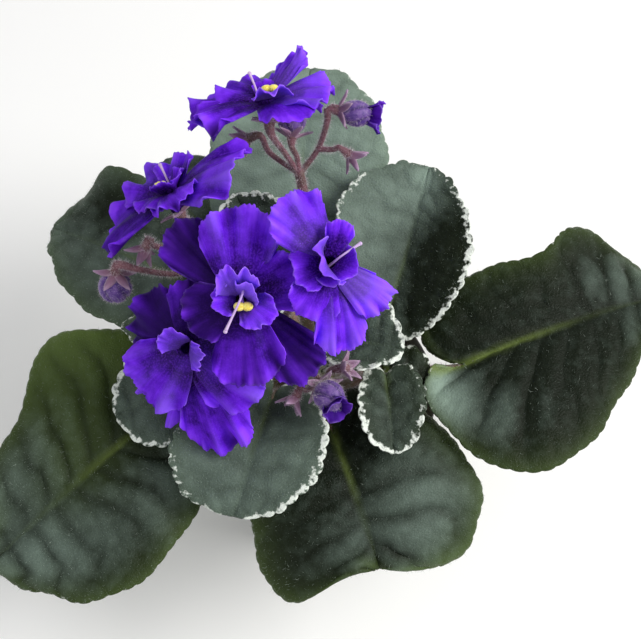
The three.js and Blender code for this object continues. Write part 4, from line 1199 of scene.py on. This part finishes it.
def petal_forms(flower, petal, shift):
    """The place, relief and values of one petal, and the way its upper face looks."""
    turn, length, width, pitch, curl, roll, light = petal
    along, across, out = spoke_axes(flower, *(math.radians(v) for v in (turn, pitch, roll)))
    lift = -0.6 if pitch > RAISED else min(0.3, max(-1, 0.06 * pitch))
    foot = np.array(in_flower(flower, 0, 0, flower.get("foot", 0) + lift))
    spread = math.asin(min(0.98, width / 2 / (0.78 * length)))
    size = min(1, (length / 20) ** 1.5)
    small = length < SMALL_PETAL

    def place(s, t):
        teeth = 0.7 * np.abs(wander(t, 0.08, shift)) + 0.45 * wander(t, 0.15, shift + 9) - 0.25
        reach = mix(PETAL_START, length, s) * (1 - s * (0.19 * t * t + 0.1 * t**8))
        reach = reach + teeth * size * s**8
        fan = t * spread * mix(1, FOOT_SPREAD, (1 - s) ** 2)
        rise = curl * (reach / length) ** 2
        x, y = reach * np.cos(fan), reach * np.sin(fan)
        return foot + np.outer(x, along) + np.outer(y, across) + np.outer(rise, out)

    def ripple(s, t):
        """The ruffles of the margin and the soft ribs, with painted highlights on the crests and
        painted shade in the hollows.
        """
        edge = np.maximum(s**4, s * np.abs(t) ** 5)
        ruffle = 2.6 * edge * wander(t, 0.34, shift) + 1.4 * edge**2 * wander(t, 0.15, shift + 3)
        return size * (ruffle + 0.8 * wander(t, 0.22, shift + 5) * s)

    def relief(s, t):
        swing = 0.05 * width * s * s * np.sin(2.6 * np.pi * t + turn)
        crease = -0.8 * np.exp(-((t / 0.12) ** 2)) * s * (1 - s)
        dome = 1.5 * size * np.sin(np.pi * s) * (1 - t * t)
        cup = 0.24 * width * t * t * s if small and pitch > RAISED else 0
        return swing + ripple(s, t) + dome + crease + cup

    def values(s, t):
        inward = np.minimum((1 - s) * length, (1 - np.abs(t)) * width / 2 * mix(0.5, 1, s))
        return {
            "reach": s,
            # Painted highlights on the crests and painted shade in the hollows
            "light": light + np.clip(0.14 * ripple(s, t), -0.3, 0.3),
            "rim": np.exp(-((inward / 0.5) ** 2)) * s * (1 if small else 0.35),
            "body": np.clip(0.4 + inward / 3, 0, 1),
        }

    return place, relief, values, out


# %% Petals and their tube
PETAL_THICKNESS = 0.5
LONG_PETAL = 13
TUBE_DEPTHS = (-5, -2.5, 0, 1)


def petals_of(name, flower, petals, detail, slot, replaces):
    """All petals of a bloom or a bud, as sheets that are thickened together."""
    shape = Shape("reach", "light", "rim", "body")
    for number, petal in enumerate(petals):
        rows, columns = (24, 88) if petal[1] > LONG_PETAL else detail
        shape.sheet(rows, columns, *petal_forms(flower, petal, number + flower["throat"][0]))
    if replaces:
        back = [in_flower(flower, 0, 0, depth) for depth in TUBE_DEPTHS]
        marks = {"reach": lambda share: 0.1, "rim": lambda share: 0, "body": lambda share: 1}
        shape.tube(back, [2, 2.2, 2.4, 3], 20, 8, values=marks, closed=False)
    made = shape.piece(name, [PETAL_SKIN], slot, replaces=replaces)
    thicken(made, PETAL_THICKNESS, False)
    print(name, len(petals), "petals,", len(made.data.polygons), "faces")


# %% Make the corollas
for name, bloom in BLOOMS.items():
    petals = bloom["petals"] + bloom["petaloids"]
    petals_of(f"corolla_{name}_petals", bloom, petals, (18, 40), "petal", [f"corolla_{name}"])

# %% [markdown]
# ## Anthers and style
# In the throat two yellow anthers stand joined on a short filament, and beside them bends the
# slender style, mauve at its foot and nearly white at its small stigma. An anther is a ball with a
# furrow pressed into it, which is easier to shape than a box that is cut and rounded. Pollen gives
# it a dusty surface.

# %% Mix the colours of anthers and styles
def style_skin():
    look = Recipe("style skin", 0.4, shown(186, 150, 216), Subsurface_Weight=0.1)
    look.feed(Subsurface_Radius=(0.001, 0.0006, 0.001))
    look.over(look.steps(look.attribute("reach"), 0.2, 0.9), shown(206, 180, 216))
    look.over(look.clouds(0.8, 2, 0.35, 0.65, 0, 0.3), shown(164, 128, 196))
    return look.material


STYLE_SKIN = style_skin()
DUST = shown(244, 216, 60), shown(255, 246, 130)
ANTHER_SKIN = mottled(
    "anther skin", 0.7, DUST, (0.5, 3), (0.3, 2, 0.2, 0.8), Sheen_Weight=0.3, Sheen_Roughness=0.6
).material
print("mixed", STYLE_SKIN.name, "and", ANTHER_SKIN.name)

# %% Make the anthers and the styles
LOBE = (1.6, 1.3, 1.1)
LOBE_APART = 1.1
STYLE_RADII = (0.5, 0.4, 0.34, 0.32, 0.34, 0.5)
STIGMA = (0.6, 0.6, 0.5)


def make_anthers(name, bloom, skins):
    face = flower_axes(bloom)[1]
    turn = flower_turn(bloom)
    x, y, z = bloom["anthers"]
    shape = Shape()
    for side in (-1, 1):
        centre = in_flower(bloom, x + LOBE_APART * side, y, z)
        for vert in shape.ball(centre, LOBE, turn, 12, 20):
            here = turn.inverted() @ (vert.co - centre)
            furrow = math.exp(-((here.y / 0.3) ** 2)) * max(0, here.z) * 0.25
            vert.co -= face * furrow
    points = [in_flower(bloom, 0, 0.6, -2), in_flower(bloom, 0, 0.8, 1), in_flower(bloom, x, y, z)]
    shape.tube(points, [0.6, 0.55, 0.5], 10, 10, material=1)
    shape.piece(name, skins, "anther", replaces=[name])
    print(name, "made")


def make_style(name, bloom, skin):
    points = [in_flower(bloom, *point) for point in bloom["style"]]
    shape = Shape("reach")
    shape.tube(points, STYLE_RADII, 10, 24, values={"reach": lambda share: share})
    for vert in shape.ball(points[-1], STIGMA, Matrix.Identity(3).to_quaternion(), 8, 12):
        vert[shape.values["reach"]] = 1
    shape.piece(name, [skin], "style", replaces=[name])
    print(name, "made")


for name, bloom in BLOOMS.items():
    if "anthers" in bloom:
        make_anthers(f"anthers_{name}", bloom, [ANTHER_SKIN, STYLE_SKIN])
    if "style" in bloom:
        make_style(f"style_{name}", bloom, STYLE_SKIN)

# %% [markdown]
# ## Stalks
# Each flower stalk is round, mauve-brown and fuzzy, and forks into pedicels that end in a calyx of
# five pointed sepals. Stalk and pedicels are tubes along smooth curves. A pedicel starts inside the
# stem that carries it, which hides the joint, and swells under its flower. A sepal is a small sheet
# with a keel, bent up about its flower.

# %% Stalk plans
STALKS = {
    "back": dict(
        stem=[(1, 2.5, 86), (3, 9, 99), (3.5, 25, 110), (-2, 42, 121), (-5, 49, 135)], radius=1.9,
        blooms={"back": [(-5, 49, 133), (-9, 50, 142)]},
        buds={
            "back_right": [(-5, 49, 132), (1, 53, 140), (4, 58, 149)],
            "back_middle": [(-5, 49, 134), (-5.5, 51, 139)],
        },
        calyxes={
            "back_right": [(1, 53, 140), (6, 51.5, 142)],
            "back_left": [(-5, 49, 133), (-14, 52, 140)],
        },
    ),
    "left": dict(
        stem=[(-3.5, 2.6, 89), (-9, 5.2, 99), (-20, 12, 110), (-32, 25, 123), (-36, 31, 131)],
        radius=1.8,
        blooms={"left": [(-36, 31, 129), (-38, 31, 134)]},
        buds={"left": [(-33, 26, 126), (-40, 15, 130), (-51, 12, 137)]},
        calyxes={"left": [(-35, 29, 128), (-42, 22, 133), (-48, 20, 138)]},
    ),
    "front": dict(
        stem=[(-3.2, -1.9, 89), (-7.5, -3.8, 100), (-14, -4, 114), (-17, -4, 128)], radius=1.9,
        blooms={
            "centre": [(-17, -4, 126), (-19, -2, 134)],
            "right": [(-15.5, -4, 118), (-8, 0, 132)],
            "front": [(-15, -4, 117), (-25, -5, 124)],
        },
    ),
    "low": dict(
        stem=[(2, -2.5, 86), (3, -7, 97), (2, -11, 106), (1, -12, 112)], radius=1.4,
        buds={"front": [(1, -12, 110), (1, -13, 115)]},
        calyxes={
            "low_right": [(2, -11, 106), (4, -11, 114)],
            "low_left": [(1.5, -11.5, 108), (-3, -16, 114)],
        },
    ),
}
print(len(STALKS), "stalks planned")

# %% How stalks end
BLOOM_END = dict(
    kind="blooms", flowers=BLOOMS, ends=(-9, -5.3), radii=(1.1, 0.9, 0.9, 1, 1.9),
    low=-6.4, length=6.5, pitch=14,
)
BUD_END = dict(
    kind="buds", flowers=BUDS, ends=(-8, -4.7), radii=(1, 0.85, 0.85, 0.95, 1.7),
    low=-5.8, length=7.2, pitch=26,
)
SPENT_END = dict(
    kind="calyxes", flowers=CALYXES, ends=(-7, -3), radii=(1, 0.85, 0.85, 0.95, 1.6),
    low=-4.2, length=7.2, pitch=44,
)
for end in (BLOOM_END, BUD_END, SPENT_END):
    print("under its", end["kind"], "a stalk swells to", 2 * end["radii"][-1], "mm")

# %% Mix the stalk colours
def stalk_skin():
    look = mottled(
        "stalk skin", 0.55, (shown(84, 46, 56), shown(122, 78, 88)), (2.5, 3), (0.5, 3, 0.25, 0.6),
        Sheen_Weight=0.4, Sheen_Roughness=0.4, Sheen_Tint=shown(230, 200, 220),
    )
    look.over(look.clouds(9, 1, 0.5, 0.7, 0, 0.35), shown(96, 92, 62))
    return look.material


def sepal_skin():
    look = Recipe(
        "sepal skin", 0.6, shown(120, 78, 96),
        Sheen_Weight=0.5, Sheen_Roughness=0.4, Sheen_Tint=shown(226, 206, 232),
    )
    look.over(look.steps(look.attribute("reach"), 0.2, 1), shown(140, 104, 142))
    look.over(look.clouds(2, 3, 0.4, 0.65, 0, 0.45), shown(92, 58, 92))
    look.over(look.times(look.attribute("rim"), 0.6), shown(196, 172, 196))
    look.bump(look.grain(0.5, 3), 0.25, 0.7)
    return look.material


STALK_SKIN = stalk_skin()
SEPAL_SKIN = sepal_skin()
print("mixed", STALK_SKIN.name, "and", SEPAL_SKIN.name)

# %% Sepals and stems
SEPAL_THICKNESS = 0.6
SEPALS = 5
POD = (1.5, 1.5, 2.1)


def add_calyx(shape, flower, low, length, pitch):
    """Five sepals at the end of a pedicel, low behind the throat."""
    throat = flower_axes(flower)[0]
    centre = np.array(in_flower(flower, 0, 0, low))
    for number in range(SEPALS):
        angle = 2 * math.pi * (number + 0.25) / SEPALS
        tilt = math.radians(pitch + 9 * math.sin(7 * number + throat.x))
        along, across, out = spoke_axes(flower, angle, tilt)

        def place(s, t):
            half = 0.21 * length * np.sin(np.pi * np.clip(0.28 + 0.72 * s, 0, 1)) ** 0.8 + 0.02
            curl = 0.12 * length * s * s * math.sin(3 * number + throat.y)
            bent = curl + 0.5 * np.abs(t) * half
            flat = centre + np.outer(length * s, along) + np.outer(t * half, across)
            return flat + np.outer(bent, out)

        def relief(s, t):
            return 0.12 * np.sin(9 * s + number) * t

        def values(s, t):
            rim = np.abs(t) ** 4 * (1 - s) + s**6
            return {"reach": s, "rim": rim, "body": np.clip(1.4 - np.abs(t) ** 3 - 0.4 * s, 0.3, 1)}

        shape.sheet(12, 8, place, relief, values)


def make_stalk(short_name, plan, stem_skin, calyx_skin):
    """The stems of a stalk as one piece, and its sepals as another."""
    stems = Shape()
    radius = plan["radius"]
    stems.tube(plan["stem"], [radius * 1.15, radius, radius * 0.9, radius * 0.8], 14, 30)
    sepals = Shape("reach", "rim", "body")
    for end in (BLOOM_END, BUD_END, SPENT_END):
        for flower_name, points in plan.get(end["kind"], {}).items():
            flower = end["flowers"][flower_name]
            last = [in_flower(flower, 0, 0, depth) for depth in end["ends"]]
            stems.tube(points + last, end["radii"], 12, 22)
            add_calyx(sepals, flower, end["low"], end["length"], end["pitch"])
            if end is SPENT_END:
                turn = flower_axes(flower)[1].to_track_quat("Z", "Y")
                stems.ball(in_flower(flower, 0, 0, -2.6), POD, turn, 10, 14)
    name = "stalk_" + short_name
    seed = len(short_name)
    made = stems.piece(name + "_stems", [stem_skin], "stalk", replaces=[name])
    grow_hairs(made, name + "_hairs", STEM_FUZZ, 5, 1.3, 0.035, seed, lean=0.4)
    calyxes = sepals.piece(name + "_sepals", [calyx_skin], "stalk")
    grow_hairs(
        calyxes, name + "_sepal_hairs", STEM_FUZZ, 6, 1.1, 0.035, 7 + seed, lean=0.4
    )
    thicken(calyxes, SEPAL_THICKNESS, False)
    print(name, len(made.data.polygons), "stem faces")


# %% Make the stalks
for name, plan in STALKS.items():
    make_stalk(name, plan, STALK_SKIN, SEPAL_SKIN)

# %% [markdown]
# ## Buds
# In a bud the petals are still rolled about each other, so its skin shows the edges of the rolls
# as slanting folds, with a few frilled tips at its mouth. A ball is drawn out to an egg, and waves
# that wind about its axis press the folds in. The bud is fuzzy like its calyx.

# %% Make the buds
FOLDS = 5
FOLD_TWIST = 3.5
FOLD_DEPTH = 0.12
EGG_SUNK = 4.4


def bud_skin():
    look = mottled(
        "bud skin", 0.55, (shown(70, 36, 122), shown(112, 80, 150)), (1.5, 3), (0.5, 3, 0.25, 0.6),
        Sheen_Weight=0.5, Sheen_Roughness=0.4, Sheen_Tint=shown(214, 196, 236),
    )
    look.over(look.times(look.attribute("rim"), 0.8), shown(48, 16, 92))
    return look.material


def make_bud(name, bud, skin):
    turn = flower_turn(bud)
    centre = in_flower(bud, 0, 0, bud["length"] / 2 - EGG_SUNK)
    radii = (bud["radius"], bud["radius"], bud["length"] / 2)
    shape = Shape("rim")
    for vert in shape.ball(centre, radii, turn, 32, 48):
        here = turn.inverted() @ (vert.co - centre)
        height = here.z / radii[2]
        swing = math.atan2(here.y, here.x) * FOLDS + FOLD_TWIST * height
        edge = max(0, math.sin(swing)) ** 3
        size = FOLD_DEPTH * (1 - height**4)
        vert.co -= (vert.co - centre) * (size * edge)
        vert[shape.values["rim"]] = edge * (1 - height**4)
    piece = shape.piece(f"bud_{name}_egg", [skin], "bud", replaces=[f"bud_{name}"])
    grow_hairs(piece, f"bud_{name}_hairs", STEM_FUZZ, 3, 1, 0.03, len(name))
    if bud["petals"]:
        petals_of(f"bud_{name}_frills", bud, bud["petals"], (14, 30), "bud", [])


BUD_SKIN = bud_skin()

for name, bud in BUDS.items():
    make_bud(name, bud, BUD_SKIN)

# %% [markdown]
# ## Crown
# Leaves and stalks all leave one short thick stem. It is scarred where older leaves have been, and
# two young leaves stand folded on its top. Its outline is spun about the axis, then noise makes it
# uneven.

# %% Young leaf plans
YOUNG_LEAVES = {
    "crown_young_leaf_back": dict(
        base=(0, 1.5, 91), tip=(-1, 7, 107),
        left=[(0, 1.5), (3, 3), (9, 4.5), (14, 2.5), (17, 1)],
        right=[(0, -1.5), (3, -4.5), (9, -5.5), (14, -3), (17, -1)],
        arch=0.5, fold=0.5, curl=0, wave=(0.2, 2, 0), tone=0.6, olive=0.3, frost=0.8,
    ),
    "crown_young_leaf_front": dict(
        base=(1, -1, 91), tip=(5, -3.5, 105),
        left=[(0, 1.5), (3, 4.5), (9, 5), (13, 3), (15, 1)],
        arch=0.5, fold=0.5, curl=0, wave=(0.2, 2, 0.5), tone=0.6, olive=0.3, frost=0.8,
    ),
}
print(len(YOUNG_LEAVES), "young leaves planned")

# %% Spin an outline
def spin_outline(shape, outline, steps):
    """Turns an outline of radius and height, from the axis round to the axis, about the Z axis."""
    before = len(shape.mesh.faces)
    verts = [shape.mesh.verts.new((radius, 0, height)) for radius, height in outline]
    edges = [shape.mesh.edges.new(pair) for pair in zip(verts, verts[1:])]
    bmesh.ops.spin(
        shape.mesh, geom=verts + edges, cent=(0, 0, 0), axis=(0, 0, 1), angle=2 * math.pi,
        steps=steps, use_merge=True,
    )
    bmesh.ops.remove_doubles(shape.mesh, verts=shape.mesh.verts, dist=1e-4)
    shape.finish_faces(before, turn_outward=True)


def rounded(outline, radius, steps=4):
    """An outline whose corners are cut round, to at most radius."""
    points = [outline[0]]
    for before, corner, after in zip(outline, outline[1:], outline[2:]):
        corner = np.array(corner)
        first, second = before - corner, after - corner
        lengths = np.linalg.norm(first), np.linalg.norm(second)
        cut = min(radius, 0.45 * lengths[0], 0.45 * lengths[1])
        start = corner + first / lengths[0] * cut
        end = corner + second / lengths[1] * cut
        for share in np.linspace(0, 1, steps + 1):
            near = mix(mix(start, corner, share), mix(corner, end, share), share)
            points.append(tuple(near))
    points.append(outline[-1])
    return points


# %% Make the crown
CROWN_FOOT = 56
CROWN_TOP = 93
CROWN_EDGE = 1.5
LONGEST_EDGE = 2.5
YOUNG_THICKNESS = 0.9
BARK = shown(86, 74, 46), shown(118, 122, 72)

crown = Shape()
outline = [
    (0, CROWN_FOOT), (CROWN_RADIUS * 0.8, CROWN_FOOT), (CROWN_RADIUS, CROWN_FOOT + 4),
    (CROWN_RADIUS, CROWN_TOP - 4), (CROWN_RADIUS * 0.7, CROWN_TOP - 1), (0, CROWN_TOP),
]
spin_outline(crown, rounded(outline, CROWN_EDGE), 40)
for _ in range(2):
    longest = [edge for edge in crown.mesh.edges if edge.calc_length() > LONGEST_EDGE]
    bmesh.ops.subdivide_edges(crown.mesh, edges=longest, cuts=1, use_grid_fill=True)
for vert in crown.mesh.verts:
    outward = Vector((vert.co.x, vert.co.y, 0))
    if outward.length > 1:
        vert.co += outward.normalized() * (noise.noise(vert.co / 3) * 0.5)
crown.finish_faces(0)
crown_skin = mottled(
    "crown skin", 0.7, BARK, (3, 4), (1.2, 4, 0.6, 0.7), Sheen_Weight=0.2, Sheen_Roughness=0.5
).material
crown_piece = crown.piece("crown_stem", [crown_skin], "crown", replaces=["crown"])
print("crown", len(crown_piece.data.polygons), "faces")

for number, (name, plan) in enumerate(YOUNG_LEAVES.items()):
    shape = Shape(*BLADE_VALUES)
    shape.sheet(30, 20, *blade_forms(whole_plan(plan), 40 + number))
    young = shape.piece(name, [LEAF_SKIN, LEAF_UNDERSIDE], "crown")
    grow_hairs(young, name + "_hairs", LEAF_FUZZ, 3, 1.5, 0.04, 60 + number, field="fuzz")
    thicken(young, YOUNG_THICKNESS, True)

# %% [markdown]
# ## Pot
# The photograph shows no pot, so a plain moulded one is guessed: a tapered wall, a band at the rim
# and three drain holes. Its outline is spun with rounded corners, and a boolean cut drills the
# holes. The plastic is dark, slightly glossy, and has the faint rings and scuffs of a pot in use.

# %% Make the pot
POT_HEIGHT = 78
POT_RIM_RADIUS = 40
POT_BASE_RADIUS = 28
POT_WALL = 3
POT_FLOOR = 4
POT_EDGE = 1.4
RIM_BAND = 12
RIM_STEP = 2
DRAIN_HOLES = 3
DRAIN_RADIUS = 4
DRAIN_RING = 15


def inner_radius(height):
    slope = (POT_RIM_RADIUS - RIM_STEP - POT_BASE_RADIUS) / POT_HEIGHT
    return POT_BASE_RADIUS - POT_WALL + slope * height


def pot_skin():
    look = Recipe("pot plastic", 0.42, shown(38, 36, 34))
    look.over(look.clouds(14, 4, 0.3, 0.75), shown(56, 52, 48))
    look.feed(Roughness=look.clouds(5, 4, 0.35, 0.7, 0.34, 0.62))
    wave = {"Vector": look.place(), "Scale": 60, "Distortion": 1.5, "Detail": 2, "Detail Scale": 3}
    rings = look.node("ShaderNodeTexWave", wave, wave_type="BANDS", bands_direction="Z")
    look.bump(rings.outputs["Fac"], 0.15, 0.35)
    return look.material


band_foot = POT_HEIGHT - RIM_BAND
pot_outline = [
    (0, 0), (POT_BASE_RADIUS, 0),
    (inner_radius(band_foot) + POT_WALL, band_foot),
    (inner_radius(band_foot) + POT_WALL + RIM_STEP, band_foot + 1),
    (POT_RIM_RADIUS, POT_HEIGHT), (inner_radius(POT_HEIGHT), POT_HEIGHT),
    (inner_radius(POT_FLOOR), POT_FLOOR), (0, POT_FLOOR),
]
pot_shape = Shape()
spin_outline(pot_shape, rounded(pot_outline, POT_EDGE), 96)
pot = pot_shape.piece("pot_shell", [pot_skin()], "pot", replaces=["pot"])

drills = bmesh.new()
for number in range(DRAIN_HOLES):
    angle = 2 * math.pi * (number + 0.25) / DRAIN_HOLES
    middle = Vector((DRAIN_RING * math.cos(angle), DRAIN_RING * math.sin(angle), 0))
    bmesh.ops.create_cone(
        drills, cap_ends=True, segments=32, radius1=DRAIN_RADIUS * MM, radius2=DRAIN_RADIUS * MM,
        depth=4 * POT_FLOOR * MM, matrix=Matrix.Translation(middle * MM),
    )
drill = mesh_object("drills", drills)
cut = pot.modifiers.new("drain holes", "BOOLEAN")
cut.object = drill
cut.solver = "EXACT"
cut_mesh = bpy.data.meshes.new_from_object(pot.evaluated_get(bpy.context.evaluated_depsgraph_get()))
pot.modifiers.clear()
pot.data = cut_mesh
bpy.data.objects.remove(drill)
print("pot", len(pot.data.polygons), "faces")

# %% [markdown]
# ## Soil
# Potting soil is dark, crumbly and uneven, with small light specks of perlite. The heap is a spun
# outline that noise roughens, and crumbs of a few sizes, each a small uneven ball, lie on its top.

# %% Make the soil
SOIL_TOP = 70
SOIL_GAP = 0.3
CRUMBS = 420
PERLITE = 60
HEAP_RINGS = (0.96, 0.88, 0.78, 0.68, 0.58, 0.47, 0.36, 0.24, 0.12, 0)
EARTH = shown(34, 24, 18), shown(78, 58, 42)
STONE = shown(196, 190, 178), shown(232, 228, 220)


def heap_height(x, y):
    mound = 1.2 * math.exp(-((math.hypot(x, y) / 14) ** 2))
    return SOIL_TOP + mound + 1.1 * noise.noise(Vector((x, y, 3)) / 5)


soil_foot = POT_FLOOR + SOIL_GAP
soil_side = inner_radius(SOIL_TOP - 1) - SOIL_GAP
foot_side = inner_radius(soil_foot) - SOIL_GAP
soil_outline = [(0, soil_foot), (foot_side, soil_foot), (soil_side, SOIL_TOP - 1)]
soil_outline += [(soil_side * share, SOIL_TOP) for share in HEAP_RINGS]
soil = Shape()
spin_outline(soil, soil_outline, 72)
for vert in soil.mesh.verts:
    if vert.co.z > SOIL_TOP - 0.5:
        vert.co.z = heap_height(vert.co.x, vert.co.y)
random = np.random.default_rng(5)
for number in range(CRUMBS + PERLITE):
    reach = (soil_side - 2) * math.sqrt(random.uniform(0.05, 1))
    angle = random.uniform(0, 2 * math.pi)
    x, y = reach * math.cos(angle), reach * math.sin(angle)
    size = random.uniform(0.5, 1.5)
    before = len(soil.mesh.faces)
    crumb = bmesh.ops.create_icosphere(soil.mesh, subdivisions=1, radius=size)["verts"]
    centre = Vector((x, y, heap_height(x, y) + 0.2 * size))
    for vert in crumb:
        vert.co = vert.co * random.uniform(0.75, 1.2) + centre
    soil.finish_faces(before, 1 if number >= CRUMBS else 0)
soil_skin = mottled("soil", 0.95, EARTH, (1.8, 5), (0.9, 5, 0.8, 0.9)).material
perlite_skin = mottled("perlite", 0.9, STONE, (0.8, 4), (0.5, 4, 0.4, 0.8)).material
soil_piece = soil.piece("soil_heap", [soil_skin, perlite_skin], "soil", replaces=["soil"])
print("soil", len(soil_piece.data.polygons), "faces")
